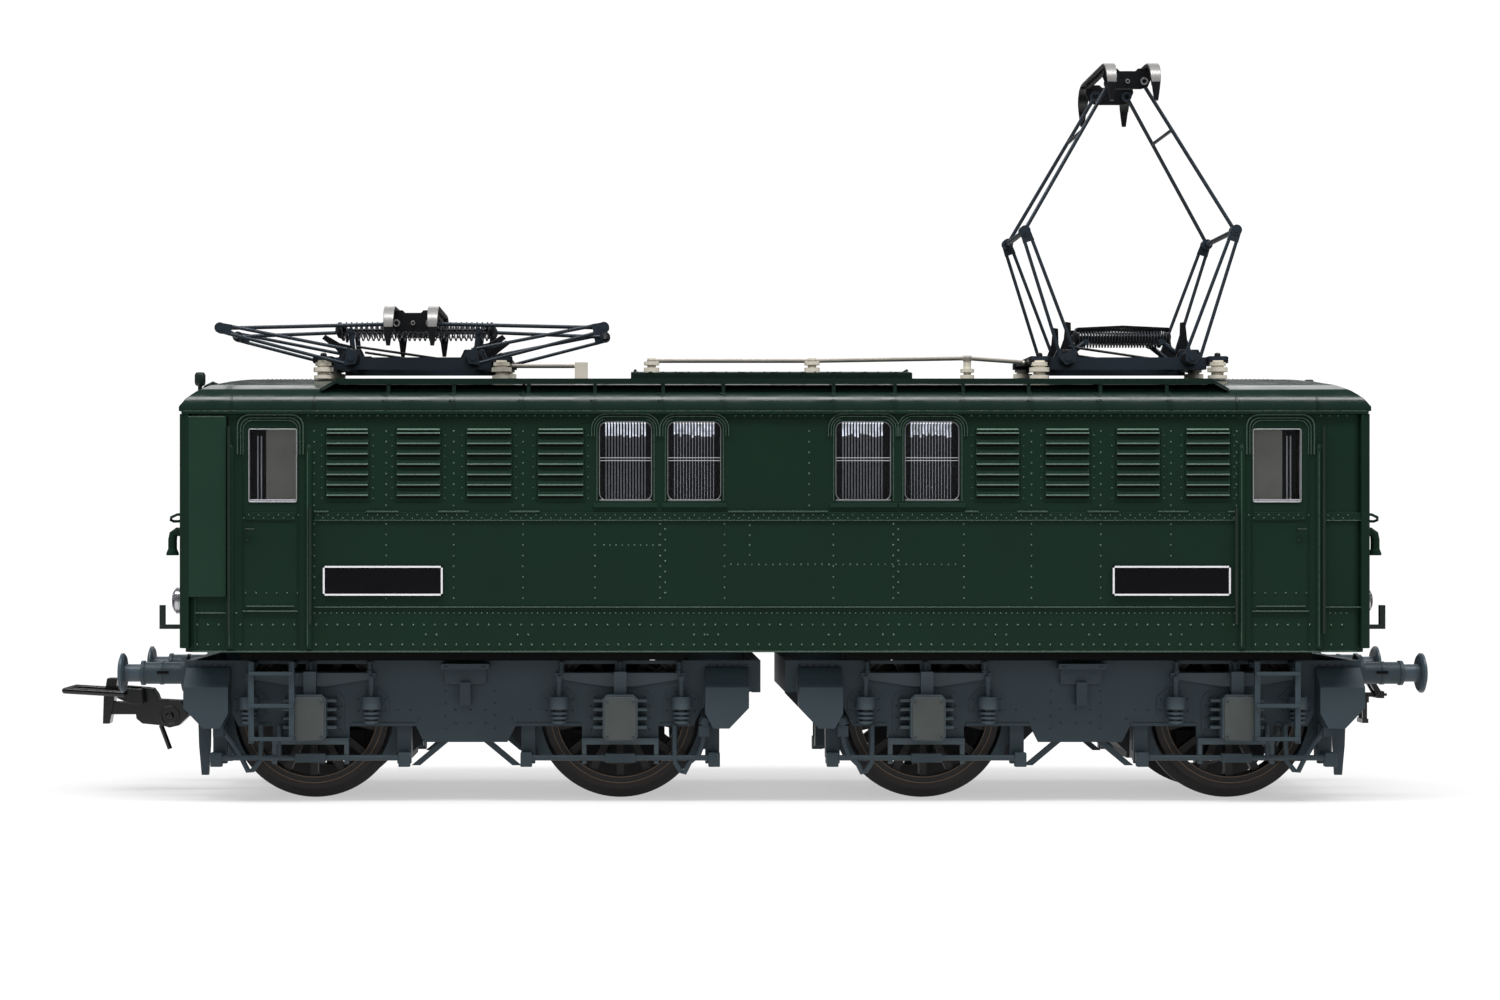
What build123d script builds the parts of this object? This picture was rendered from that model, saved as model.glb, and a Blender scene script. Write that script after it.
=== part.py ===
"""Model electric locomotive, H0 scale (1:87): boxcab body on two four-wheel power bogies.

Units are millimetres.  X runs along the locomotive, Y across it, Z up.
The origin is on the centre line, midway between the bogie pivots, at the level of the flange bottoms.
"""

import math
import os

from build123d import *

os.makedirs("parts", exist_ok=True)

# ---------------------------------------------------------------- driving dimensions
# running gear
PIVOT_X = 34.6              # bogie pivot to the middle of the locomotive
HALF_WHEELBASE = 17.4       # axle to bogie pivot
AXLE_Z = 9.7
TREAD_R = 8.6
FLANGE_R = 9.7
BACK_HALF = 7.15            # back of a wheel to the centre line
TYRE_WIDTH = 2.8
SPOKES = 14
AXLE_R = 1.0
RUN = 0.05                  # radial running clearance

# body
BODY_HALF_L = 65.7
BODY_HALF_W = 17.0
BODY_Z0 = 16.9
GUTTER_Z = 43.7
WALL = 1.2
ROOF_TOP_Z = 48.0
CORNER_R = 1.6

# side openings, as (low x, high x)
LOUVRES = [(-50.0, -45.0), (-42.2, -37.0), (-34.4, -29.1), (-26.5, -21.1),
           (22.2, 27.3), (29.9, 35.1), (37.8, 42.9), (45.5, 50.7)]
WINDOWS = [(-19.6, -13.6), (-12.0, -5.9), (6.7, 13.0), (14.4, 20.6)]
DOOR_WINDOWS = [(-58.5, -53.1), (53.1, 58.5)]
LOUVRE_Z = (33.5, 41.7)
WINDOW_Z = (33.7, 42.6)
DOOR_WINDOW_Z = (33.6, 41.7)
SLATS = 7
WALK_POSTS = [-43.0, -35.7, -27.4, -20.0, -12.4, -5.7, 6.6, 13.4, 21.0, 28.3, 36.3, 43.7]

# drive line
MOTOR_Z = 24.5
MOTOR_R = 6.4
GEAR_MODULE = 0.4
WORM_WHEEL_TEETH = 30
IDLER_TEETH = 24
AXLE_GEAR_TEETH = 18
WORM_WHEEL_Z = 16.7
WORM_PITCH_R = 1.8

# pantographs
PANTO_X = 41.0
PANTO_PIVOT_HALF = 7.0
PANTO_PIVOT_Z = 50.2
LOWER_ARM = 15.3
UPPER_ARM = 20.03
HEAD_HALF = 1.9
ARM_Y = {-1: 8.0, 1: 8.8}      # lower arms stand this far from the centre line
TIP_Y = {-1: 5.0, 1: 5.4}      # upper arms at the head
REST_ANGLE = {-1: 12.8, 1: 71.0}


# ---------------------------------------------------------------- small helpers
def box(x0, x1, y0, y1, z0, z1):
    """Box between two corners."""
    mid = ((x0 + x1) / 2, (y0 + y1) / 2, (z0 + z1) / 2)
    return Pos(*mid) * Box(abs(x1 - x0), abs(y1 - y0), abs(z1 - z0))


def rod(start, end, radius):
    """Round rod between two points."""
    a = Vector(*start)
    b = Vector(*end)
    axis = b - a
    plane = Plane(origin=a, z_dir=axis)
    return plane * Pos(0, 0, axis.length / 2) * Cylinder(radius, axis.length)


def disc_x(x0, x1, y, z, radius):
    """Cylinder along X."""
    return rod((x0, y, z), (x1, y, z), radius)


def disc_y(x, y0, y1, z, radius):
    """Cylinder along Y."""
    return rod((x, y0, z), (x, y1, z), radius)


def disc_z(x, y, z0, z1, radius):
    """Cylinder along Z."""
    return rod((x, y, z0), (x, y, z1), radius)


def ring_y(x, y0, y1, z, outer, inner):
    """Ring with its axis along Y."""
    return disc_y(x, y0, y1, z, outer) - disc_y(x, y0 - 1, y1 + 1, z, inner)


def prism_y(points, y0, y1):
    """Solid with a side outline given in X and Z."""
    low, high = min(y0, y1), max(y0, y1)
    face = make_face(Polyline(*[(x, low, z) for x, z in points], close=True))
    return extrude(face, amount=high - low, dir=(0, 1, 0))


def prism_x(points, x0, x1):
    """Solid with an end outline given in Y and Z."""
    face = make_face(Polyline(*[(x0, y, z) for y, z in points], close=True))
    return extrude(face, amount=x1 - x0, dir=(1, 0, 0))


def prism_z(points, z0, z1):
    """Solid with a plan outline given in X and Y."""
    face = make_face(Polyline(*[(x, y, z0) for x, y in points], close=True))
    return extrude(face, amount=z1 - z0, dir=(0, 0, 1))


def half_turn(shape):
    """The same shape turned half a turn about the vertical axis."""
    return shape.rotate(Axis.Z, 180)


def flatten(shapes):
    """All solids of a list of shapes."""
    solids = []
    for shape in shapes:
        if isinstance(shape, (list, tuple)):
            solids += flatten(shape)
        else:
            solids += list(shape.solids())
    return solids


def fuse(shapes):
    """One body out of many touching solids."""
    solids = flatten(shapes)
    total = solids[0]
    if len(solids) > 1:
        total = solids[0].fuse(*solids[1:])
    return total.clean() if hasattr(total, "clean") else total


def write(name, shapes):
    """Write one node from the solids of the given shapes."""
    shapes = shapes if isinstance(shapes, (list, tuple)) else [shapes]
    node = Compound(children=flatten(shapes), label=name)
    export_step(node, f"parts/{name}.step")


# ---------------------------------------------------------------- body and roof
def opening_cutters(spans, z_span, radius, depth):
    """Cutters for openings in the near side, repeated half a turn round for the far side."""
    cutters = []
    for x0, x1 in spans:
        cut = box(x0, x1, -BODY_HALF_W - 1, -BODY_HALF_W + depth, z_span[0], z_span[1])
        if radius > 0:
            top = cut.edges().filter_by(Axis.Y).group_by(Axis.Z)[-1]
            cut = fillet(top, radius)
        cutters.append(cut)
        cutters.append(half_turn(cut))
    return cutters


def make_body_shell():
    """Four riveted walls, open at the top and the bottom."""
    outer = box(-BODY_HALF_L, BODY_HALF_L, -BODY_HALF_W, BODY_HALF_W, BODY_Z0, GUTTER_Z)
    outer = fillet(outer.edges().filter_by(Axis.Z), CORNER_R)
    inner = box(-BODY_HALF_L + WALL, BODY_HALF_L - WALL, -BODY_HALF_W + WALL, BODY_HALF_W - WALL,
                BODY_Z0 - 1, GUTTER_Z + 1)
    shell = outer - inner
    for cut in opening_cutters(WINDOWS, WINDOW_Z, 1.0, 2.0):
        shell -= cut
    for cut in opening_cutters(DOOR_WINDOWS, DOOR_WINDOW_Z, 0.5, 2.0):
        shell -= cut
    for cut in opening_cutters(LOUVRES, LOUVRE_Z, 0, 2.0):
        shell -= cut
    for end in (-1, 1):
        for y in (-9.0, 9.0):
            shell -= box(end * (BODY_HALF_L - 2), end * (BODY_HALF_L + 1), y - 3.4, y + 3.4, 33.8, 41.5)
    gutter = box(-BODY_HALF_L - 0.2, BODY_HALF_L + 0.2, -BODY_HALF_W - 0.4, BODY_HALF_W + 0.4,
                 GUTTER_Z - 0.3, GUTTER_Z)
    gutter -= box(-BODY_HALF_L + 0.5, BODY_HALF_L - 0.5, -BODY_HALF_W + 0.5, BODY_HALF_W - 0.5,
                  GUTTER_Z - 1, GUTTER_Z + 1)
    return fuse([shell, gutter])


def roof_outline(inset):
    """Half of the cove roof's cross section, from the gutter to the ridge."""
    outer = [(17.3, GUTTER_Z), (17.3, 44.1), (17.0, 44.9), (16.4, 45.6), (15.5, 46.2), (14.0, 46.7),
             (10.0, 47.35), (5.0, 47.85), (0.0, ROOF_TOP_Z)]
    if not inset:
        return outer
    return [(max(y - inset, 0.0), z - inset) for y, z in outer[1:]]


def make_roof_shell():
    """Hollow roof with sloping ends and a catwalk along each edge."""
    half = roof_outline(0)
    section = half + [(-y, z) for y, z in reversed(half[:-1])]
    solid = prism_x(section, -66.2, 66.2)
    end = [(57.0, 48.3), (60.5, 47.7), (63.0, 46.8), (64.4, 46.0), (65.5, 45.1), (66.2, 44.2),
           (66.2, GUTTER_Z - 1)]
    solid = solid & prism_y([(-x, z) for x, z in reversed(end)] + end, -20, 20)
    hollow_half = [(15.9, GUTTER_Z - 1)] + roof_outline(1.2)
    hollow = hollow_half + [(-y, z) for y, z in reversed(hollow_half[:-1])]
    inside = prism_x(hollow, -62.5, 62.5) & prism_y(
        [(-62.5, GUTTER_Z - 2), (-62.5, 44.4), (-50.0, 46.9), (50.0, 46.9), (62.5, 44.4),
         (62.5, GUTTER_Z - 2)], -20, 20)
    solid = solid - inside
    walks = []
    for side_sign in (-1, 1):
        y0, y1 = sorted((side_sign * 13.2, side_sign * 16.3))
        walk = prism_y([(-50.4, 46.0), (-48.7, 46.9), (48.7, 46.9), (50.4, 46.0), (50.7, 46.2),
                        (48.8, 47.3), (-48.8, 47.3), (-50.7, 46.2)], y0, y1)
        walks.append(walk)
        for x in WALK_POSTS:
            walks.append(box(x - 0.2, x + 0.2, y0, y1, 45.6, 47.0))
    return fuse([solid] + walks)


def make_roof_hatch():
    """Long flat hatch cover in the middle of the roof."""
    cover = prism_x([(-7.6, 47.3), (7.6, 47.3), (7.6, 48.5), (4.0, 48.8), (-4.0, 48.8), (-7.6, 48.5)],
                    -16.0, 16.2)
    cover -= prism_x([(17.3, 43.7), (14.0, 46.7), (10.0, 47.35), (5.0, 47.85), (0.0, ROOF_TOP_Z),
                      (-5.0, 47.85), (-10.0, 47.35), (-14.0, 46.7), (-17.3, 43.7)], -20, 20)
    return cover


def make_glazing():
    """Clear panes behind the side windows and in the end windows, on an inner flange."""
    panes = []
    for x0, x1 in WINDOWS + DOOR_WINDOWS:
        pane = box(x0 - 0.6, x1 + 0.6, -BODY_HALF_W + WALL, -BODY_HALF_W + WALL + 0.5, 33.0, 43.2)
        inset = box(x0 + 0.05, x1 - 0.05, -BODY_HALF_W + 0.75, -BODY_HALF_W + WALL, 33.8, 41.4)
        piece = fuse([pane, inset])
        panes += [piece, half_turn(piece)]
    for end in (-1, 1):
        for y in (-9.0, 9.0):
            panes.append(box(end * (BODY_HALF_L - 0.7), end * (BODY_HALF_L - WALL), y - 3.35, y + 3.35,
                             33.85, 41.45))
    return panes


def make_louvres():
    """Backed panels of sloping slats, one in each side opening."""
    panels = []
    pitch = (LOUVRE_Z[1] - LOUVRE_Z[0]) / SLATS
    for x0, x1 in LOUVRES:
        lo, hi = x0 + 0.02, x1 - 0.02
        parts = [box(lo, hi, -BODY_HALF_W + 0.75, -BODY_HALF_W + WALL, LOUVRE_Z[0] + 0.02,
                     LOUVRE_Z[1] - 0.02)]
        for row in range(SLATS):
            z = LOUVRE_Z[0] + row * pitch + 0.12
            y = -BODY_HALF_W
            slat = [(y + 0.8, z + pitch * 0.86), (y - 0.05, z + pitch * 0.50), (y - 0.35, z),
                    (y - 0.10, z), (y + 0.8, z + pitch * 0.30)]
            parts.append(prism_x(slat, lo, hi))
        panel = fuse(parts)
        panels += [panel, half_turn(panel)]
    return panels


def make_nameplates():
    """Blank plates on both sides."""
    plates = []
    for x0, x1 in ((-50.2, -36.9), (37.5, 50.6)):
        plate = box(x0, x1, -BODY_HALF_W - 0.25, -BODY_HALF_W, 23.2, 26.5)
        plates += [plate, half_turn(plate)]
    return plates


def make_handrails():
    """Door handrails, lamp irons and the grab hooks at the body ends."""
    rails = []
    y = -BODY_HALF_W - 0.55
    for x, z0, z1 in ((-60.6, 19.0, 42.0), (-51.6, 20.0, 33.0), (51.2, 20.0, 33.0), (60.9, 19.0, 42.0)):
        rail = fuse([rod((x, y, z0), (x, y, z1), 0.18),
                     rod((x, y, z0 + 0.4), (x, -BODY_HALF_W, z0 + 0.4), 0.14),
                     rod((x, y, z1 - 0.4), (x, -BODY_HALF_W, z1 - 0.4), 0.14)])
        rails += [rail, half_turn(rail)]
    for end in (-1, 1):
        face = end * BODY_HALF_L
        for side in (-1, 1):
            y0, y1 = side * 11.0 - 0.4, side * 11.0 + 0.4
            iron = fuse([box(face, face + end * 0.6, y0, y1, 18.5, 20.4),
                         box(face, face + end * 3.6, y0, y1, 19.3, 19.8),
                         box(face + end * 3.0, face + end * 3.6, y0, y1, 19.3, 22.0)])
            rails.append(iron)
            if side == end:
                continue
            y, x = side * 14.3, face + end * 0.5
            grab = fuse([rod((face, y, 38.6), (x, y, 38.6), 0.14), rod((x, y, 39.0), (x, y, 34.3), 0.18),
                         rod((face, y, 34.7), (x, y, 34.7), 0.14)])
            rails.append(grab)
    return rails


def make_headlights():
    """Round lamps low on each end."""
    lamps = []
    for end in (-1, 1):
        face = end * BODY_HALF_L
        for y in (-10.5, 10.5):
            x0, x1 = sorted((face, face + end * 1.3))
            lamp = disc_x(x0, x1, y, 22.5, 1.5)
            lamp -= disc_x(*sorted((face + end * 0.8, face + end * 2)), y, 22.5, 1.2)
            lamps.append(lamp)
    return lamps


def make_cab_interiors():
    """Rear bulkhead, desk and seat at each end of the body."""
    cabs = []
    for end in (-1, 1):
        def across(xa, xb, y0, y1, z0, z1):
            return box(end * xa, end * xb, y0, y1, z0, z1)
        cab = fuse([across(50.6, 51.4, -15.7, 15.7, 29.2, 43.4),
                    across(50.6, 64.4, -15.7, 15.7, 29.2, 30.0),
                    across(61.5, 64.4, -13.0, 13.0, 29.9, 34.4),
                    across(54.5, 57.5, -8.0, -4.5, 29.9, 33.2),
                    across(54.4, 55.0, -8.0, -4.5, 33.0, 37.0)])
        cabs.append(cab)
    return cabs


def make_roof_conductors():
    """Cream insulators and the rods that join the two pantographs."""
    parts = []
    for x, y, base, top, radius in ((-13.6, -3.0, 48.8, 50.0, 0.9), (5.0, -3.0, 48.8, 50.0, 0.9),
                                    (23.0, -3.0, 47.95, 50.2, 0.8)):
        parts.append(fuse([disc_z(x, y, base, top, radius * 0.55),
                           disc_z(x, y, base, base + 0.5, radius),
                           disc_z(x, y, base + 0.8, base + 1.2, radius)]))
    bar = fuse([rod((-13.6, -3.0, 50.1), (5.0, -3.0, 50.1), 0.22),
                rod((5.0, -3.0, 50.1), (23.0, -3.0, 50.4), 0.22),
                rod((23.0, -3.0, 50.4), (29.6, -3.0, 49.9), 0.22),
                disc_z(-13.6, -3.0, 49.9, 50.4, 0.5), disc_z(5.0, -3.0, 49.9, 50.4, 0.5),
                disc_z(23.0, -3.0, 50.1, 50.7, 0.5)])
    link = rod((-30.0, -3.0, 49.5), (-22.5, -3.0, 49.5), 0.22)
    block = box(-22.5, -21.0, -3.7, -2.3, 48.0, 49.9)
    return [fuse(parts + [bar]), fuse([link, block])]


# ---------------------------------------------------------------- chassis and drive
def make_chassis():
    """Cast ring that carries the motor, with a bridge over each bogie opening."""
    ring = box(-58, 58, -13.5, 13.5, 21, 29) - box(-46, 46, -8.6, 8.6, 20, 30)
    parts = [ring]
    for x in (-52, -18, 18, 52):
        for side in (-1, 1):
            parts.append(box(x - 3, x + 3, side * 13.0, side * 15.8, 22, 27))
    cradle = box(-7, 7, -8.6, 8.6, 21, 24.5) - disc_x(-8, 8, 0, MOTOR_Z, MOTOR_R)
    parts.append(cradle)
    return fuse(parts)


def make_retainers():
    """Plates over the bogie openings, each with the pivot bore."""
    plates = []
    for x in (-PIVOT_X, PIVOT_X):
        plate = box(x - 5.5, x + 5.5, -12.5, 12.5, 29.0, 30.6) - disc_z(x, 0, 28, 32, 3.0 + RUN)
        for side in (-1, 1):
            plate -= disc_z(x, side * 11.0, 28, 32, 0.8)
            plate += disc_z(x, side * 11.0, 29.0, 31.4, 1.1)
        plates.append(plate)
    return plates


def make_motor_can():
    """Can motor body with end bearings."""
    can = disc_x(-9, 9, 0, MOTOR_Z, MOTOR_R)
    can -= disc_x(-8.2, 8.2, 0, MOTOR_Z, MOTOR_R - 0.6)
    can -= disc_x(-10, 10, 0, MOTOR_Z, 0.75 + RUN)
    return can


def make_rotor():
    """Shaft, armature, two flywheels and the two drive cups."""
    parts = [disc_x(-17.6, 17.6, 0, MOTOR_Z, 0.75), disc_x(-7, 7, 0, MOTOR_Z, 4.8)]
    for s in (-1, 1):
        parts.append(disc_x(*sorted((s * 10.2, s * 16.5)), 0, MOTOR_Z, 6.0))
        cup = disc_x(*sorted((s * 16.5, s * 20.3)), 0, MOTOR_Z, 2.2)
        cup -= disc_x(*sorted((s * 17.6, s * 21.0)), 0, MOTOR_Z, 1.5)
        parts.append(cup)
    return fuse(parts)


def make_cardan(s):
    """Short shaft with a ball at each end; s is the end of the locomotive."""
    a, b = s * 19.2, s * 26.2
    return fuse([disc_x(min(a, b), max(a, b), 0, MOTOR_Z, 0.6),
                 Pos(a, 0, MOTOR_Z) * Sphere(1.0), Pos(b, 0, MOTOR_Z) * Sphere(1.0)])


# ---------------------------------------------------------------- gears and wheels
def gear(teeth, cx, cz, phase, half_width, bore):
    """Spur gear about Y; phase is the angle of one tooth, from +Z towards +X."""
    pitch_r = GEAR_MODULE * teeth / 2
    root_r = pitch_r - 0.5
    tip_r = pitch_r + 0.32
    step = 2 * math.pi / teeth
    points = []
    for k in range(teeth):
        middle = phase + k * step
        for radius, offset in ((root_r, -0.30), (tip_r, -0.12), (tip_r, 0.12), (root_r, 0.30)):
            angle = middle + offset * step
            points.append((cx + radius * math.sin(angle), cz + radius * math.cos(angle)))
    wheel = prism_y(points, -half_width, half_width)
    hub = disc_y(cx, -2.2, 2.2, cz, bore + 0.9)
    return fuse([wheel, hub]) - disc_y(cx, -5, 5, cz, bore)


def mesh_phase(first_teeth, first_phase, second_teeth, direction):
    """Phase of a gear that meshes with another one lying in the given direction."""
    first = math.pi - first_teeth * (direction - first_phase)
    return direction + math.pi - first / second_teeth


def gear_train():
    """Centres and tooth phases of the gears of one bogie, in bogie coordinates."""
    train = {"worm_wheel": (0.0, WORM_WHEEL_Z, math.pi / WORM_WHEEL_TEETH)}
    for side, name in ((-1, "outer"), (1, "inner")):
        ix, iz = side * 9.08, 10.85
        toward = math.atan2(ix, iz - WORM_WHEEL_Z)
        idler = mesh_phase(WORM_WHEEL_TEETH, train["worm_wheel"][2], IDLER_TEETH, toward)
        train["idler_" + name] = (ix, iz, idler)
        ax = side * HALF_WHEELBASE
        onward = math.atan2(ax - ix, AXLE_Z - iz)
        train["axle_" + name] = (ax, AXLE_Z, mesh_phase(IDLER_TEETH, idler, AXLE_GEAR_TEETH, onward))
    return train


def make_wheel(cx, side):
    """Spoked wheel with its flange on the inner side."""
    back = side * BACK_HALF
    front = side * (BACK_HALF + TYRE_WIDTH)
    flange_y = side * (BACK_HALF + 0.7)
    y0, y1 = sorted((back, front))
    tyre = disc_y(cx, y0, y1, AXLE_Z, TREAD_R)
    tyre += disc_y(cx, *sorted((back, flange_y)), AXLE_Z, FLANGE_R)
    tyre -= disc_y(cx, y0 - 1, y1 + 1, AXLE_Z, 7.2)
    hub = disc_y(cx, *sorted((back, front + side * 0.3)), AXLE_Z, 2.0)
    spokes = []
    for k in range(SPOKES):
        angle = 360.0 * k / SPOKES
        outline = [(-0.36, 1.8), (0.36, 1.8), (0.42, 7.5), (-0.42, 7.5)]
        spoke = prism_y(outline, *sorted((back + side * 0.7, front - side * 0.5)))
        spokes.append((Pos(cx, 0, AXLE_Z) * Rot(0, angle, 0)) * spoke)
    wheel = fuse([tyre, hub] + spokes)
    return wheel - disc_y(cx, y0 - 1, y1 + 2, AXLE_Z, AXLE_R)


def make_wheelset(train, name):
    """Two wheels and a gear on one axle."""
    cx, cz, phase = train[name]
    axle = disc_y(cx, -10.7, 10.7, cz, AXLE_R)
    return [axle, make_wheel(cx, -1), make_wheel(cx, 1),
            gear(AXLE_GEAR_TEETH, cx, cz, phase, 0.8, AXLE_R)]


def make_worm_body(s):
    """Worm with a real single-start right-hand thread, its shaft and the drive cup."""
    x = s * PIVOT_X
    pitch = math.pi * GEAR_MODULE
    path = Helix(pitch=pitch, height=4 * pitch, radius=WORM_PITCH_R)
    start = path @ 0
    plane = Plane(origin=start, x_dir=(1, 0, 0), z_dir=path % 0)
    profile = plane * Polygon((-0.7, -0.36), (0.28, -0.15), (0.28, 0.15), (-0.7, 0.36), align=None)
    thread = sweep(profile, path, is_frenet=True)
    thread = Pos(x - 2 * pitch, 0, MOTOR_Z) * Rot(0, 90, 0) * thread
    core = disc_x(x - 3.9, x + 3.9, 0, MOTOR_Z, 1.3)
    shaft = disc_x(*sorted((x + s * 7.3, x - s * 7.4)), 0, MOTOR_Z, 0.7)
    cup = disc_x(*sorted((x - s * 6.9, x - s * 9.6)), 0, MOTOR_Z, 3.1)
    cup -= disc_x(*sorted((x - s * 7.5, x - s * 10.5)), 0, MOTOR_Z, 2.5)
    return fuse([core, shaft, cup, thread])


# ---------------------------------------------------------------- bogie, outer end towards -X
def place(shapes, s):
    """Move bogie shapes to one end of the locomotive."""
    placed = []
    for shape in flatten(shapes if isinstance(shapes, (list, tuple)) else [shapes]):
        if s > 0:
            shape = half_turn(shape)
        placed.append(shape.moved(Location((s * PIVOT_X, 0, 0))))
    return placed


def make_gearbox():
    """Cast case round the gear train, with the pivot boss and its washer."""
    case = [(-22.5, 5.0), (-6.5, 5.0), (-3.0, 8.4), (3.0, 8.4), (6.5, 5.0), (22.5, 5.0), (22.5, 13.6),
            (15.2, 17.2), (8.2, 17.2), (8.2, 20.0), (6.5, 21.0), (6.5, 28.2), (-6.5, 28.2),
            (-6.5, 21.0), (-8.2, 20.0), (-8.2, 17.2), (-15.2, 17.2), (-22.5, 13.6)]
    body = prism_y(case, -4.5, 4.5)
    cavity = [(-21.6, 4.0), (-7.4, 4.0), (-7.2, 5.4), (-3.2, 9.3), (3.2, 9.3), (7.2, 5.4), (7.4, 4.0),
              (21.6, 4.0), (21.6, 13.0), (14.9, 16.4), (7.3, 16.4), (7.3, 19.4), (5.6, 20.4),
              (5.6, 27.3), (-5.6, 27.3), (-5.6, 20.4), (-7.3, 19.4), (-7.3, 16.4), (-14.9, 16.4),
              (-21.6, 13.0)]
    body -= prism_y(cavity, -3.3, 3.3)
    body -= disc_x(-10, 10, 0, MOTOR_Z, 0.7 + RUN)
    for side in (-1, 1):
        body -= disc_y(side * HALF_WHEELBASE, -5, 5, AXLE_Z, AXLE_R + RUN)
    pins = [disc_y(0, -4.0, 4.0, WORM_WHEEL_Z, 0.8)]
    pins += [disc_y(side * 9.08, -4.0, 4.0, 10.85, 0.8) for side in (-1, 1)]
    boss = disc_z(0, 0, 28.0, 31.2, 3.0)
    shoulder = disc_z(0, 0, 28.0, 28.7, 4.2)
    washer = disc_z(0, 0, 30.9, 31.5, 4.2)
    arms = []
    for side in (-1, 1):
        arms.append(box(-5.0, 5.0, side * 4.2, side * 11.9, 13.0, 15.6))
    return fuse([body] + pins + [boss, shoulder, washer] + arms)


def make_keeper():
    """Cover plates under the gears, with the current pickups for the wheels."""
    plates = []
    for side in (-1, 1):
        plate = box(side * 6.6, side * 22.5, -4.5, 4.5, 4.2, 5.0)
        strips = []
        for edge in (-1, 1):
            strips.append(box(side * 12.0, side * 16.0, edge * 4.3, edge * 6.4, 4.3, 4.7))
            strips.append(box(side * 12.0, side * 16.0, edge * 6.1, edge * 6.4, 4.3, 7.5))
        plates.append(fuse([plate] + strips))
    return plates


def make_sandbox(x_near, x_end, side):
    """Tapered sandbox with a sloping lid; x_end is its side away from the wheel."""
    step = 1 if x_end > x_near else -1
    outline = [(x_near, 15.0), (x_end, 15.0), (x_end, 10.6), (x_end - step * 2.2, 8.3),
               (x_near + step * 0.9, 8.3), (x_near, 10.0)]
    tank = prism_y(outline, side * 12.6, side * 15.4)
    lid = prism_x([(side * 13.0, 15.2), (side * 15.6, 15.2), (side * 15.6, 12.6), (side * 15.4, 12.9)],
                  *sorted((x_near - 1.0 * step, x_end + 1.0 * step)))
    return tank - lid


def make_bogie_frame(s):
    """Side plates, end beams, sandboxes, steps and buffer housings."""
    right = [(33.0, 15.8), (33.0, 12.6), (26.6, 10.4), (25.6, 8.4), (21.7, 8.4), (21.7, 7.1),
             (13.1, 7.1), (13.1, 8.4), (5.6, 8.4), (4.7, 6.6)]
    left = [(-min(x, 31.0), z) for x, z in reversed(right)]
    parts = []
    for side in (-1, 1):
        plate = prism_y(right + left, side * 11.9, side * 12.6)
        for x in (-HALF_WHEELBASE, HALF_WHEELBASE):
            for a, b in ((-6.3, -0.6), (0.6, 6.3)):
                plate -= box(x + a, x + b, side * 11.0, side * 13.0, 14.5, 15.4)
        parts.append(plate)
        parts.append(make_sandbox(-26.4, -31.4, side))
        parts.append(make_sandbox(26.9, 31.8, side))
        # steps below the cab door
        for x in (-23.7, -19.2):
            parts.append(box(x - 0.3, x + 0.3, side * 15.7, side * 16.3, 6.7, 15.8))
        for z in (7.0, 10.7, 14.3):
            parts.append(box(-23.9, -19.0, side * 15.7, side * 16.6, z, z + 0.4))
        for x in (-23.7, -19.2):
            parts.append(box(x - 0.3, x + 0.3, side * 12.6, side * 15.8, 15.1, 15.7))
        # guard irons
        parts.append(prism_y([(-30.6, 12.0), (-29.0, 12.0), (-29.1, 6.0), (-29.3, 2.7), (-30.1, 2.7),
                              (-30.4, 6.0)], side * 9.6, side * 10.2))
        parts.append(box(-30.6, -29.0, side * 9.6, side * 12.0, 11.4, 12.0))
        # buffer housings with their rings
        parts.append(disc_x(-36.9, -31.2, side * 10.05, 14.27, 1.25))
        for x0, x1, radius in ((-32.2, -31.6, 2.1), (-34.8, -34.4, 1.33), (-36.9, -36.5, 1.4)):
            parts.append(disc_x(x0, x1, side * 10.05, 14.27, radius))
    outer = box(-31.7, -30.6, -12.4, 12.4, 11.8, 15.8)
    inner = box(32.2, 33.2, -12.6, 12.6, 12.2, 15.8)
    parts += [outer, inner]
    # drawbar bracket on the centre line
    parts.append(box(-31.7, -25.5, -3.0, 3.0, 11.3, 12.3))
    if s < 0:
        parts.append(disc_z(-27.5, 0, 7.6, 11.6, 0.8))
        parts.append(disc_z(-27.5, 0, 7.2, 7.9, 1.5))
    else:
        parts.append(box(-36.3, -31.4, -0.5, 0.5, 12.7, 14.1))
        parts.append(rod((-35.6, -1.6, 13.4), (-35.6, 1.6, 13.4), 0.35))
    # bolster bracket in the middle of each side
    for side in (-1, 1):
        y0, y1 = sorted((side * 12.6, side * 14.6))
        parts.append(box(-2.7, 2.7, y0, y1, 14.9, 15.5))
        parts.append(box(-2.3, 2.3, side * 12.6, side * 13.2, 13.2, 15.0))
        parts.append(box(-0.6, 0.6, side * 12.6, side * 13.9, 10.8, 13.4))
    frame = fuse(parts)
    for side in (-1, 1):
        frame -= disc_x(-38, -32.3, side * 10.05, 14.27, 1.0 + RUN)
    return frame


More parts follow.
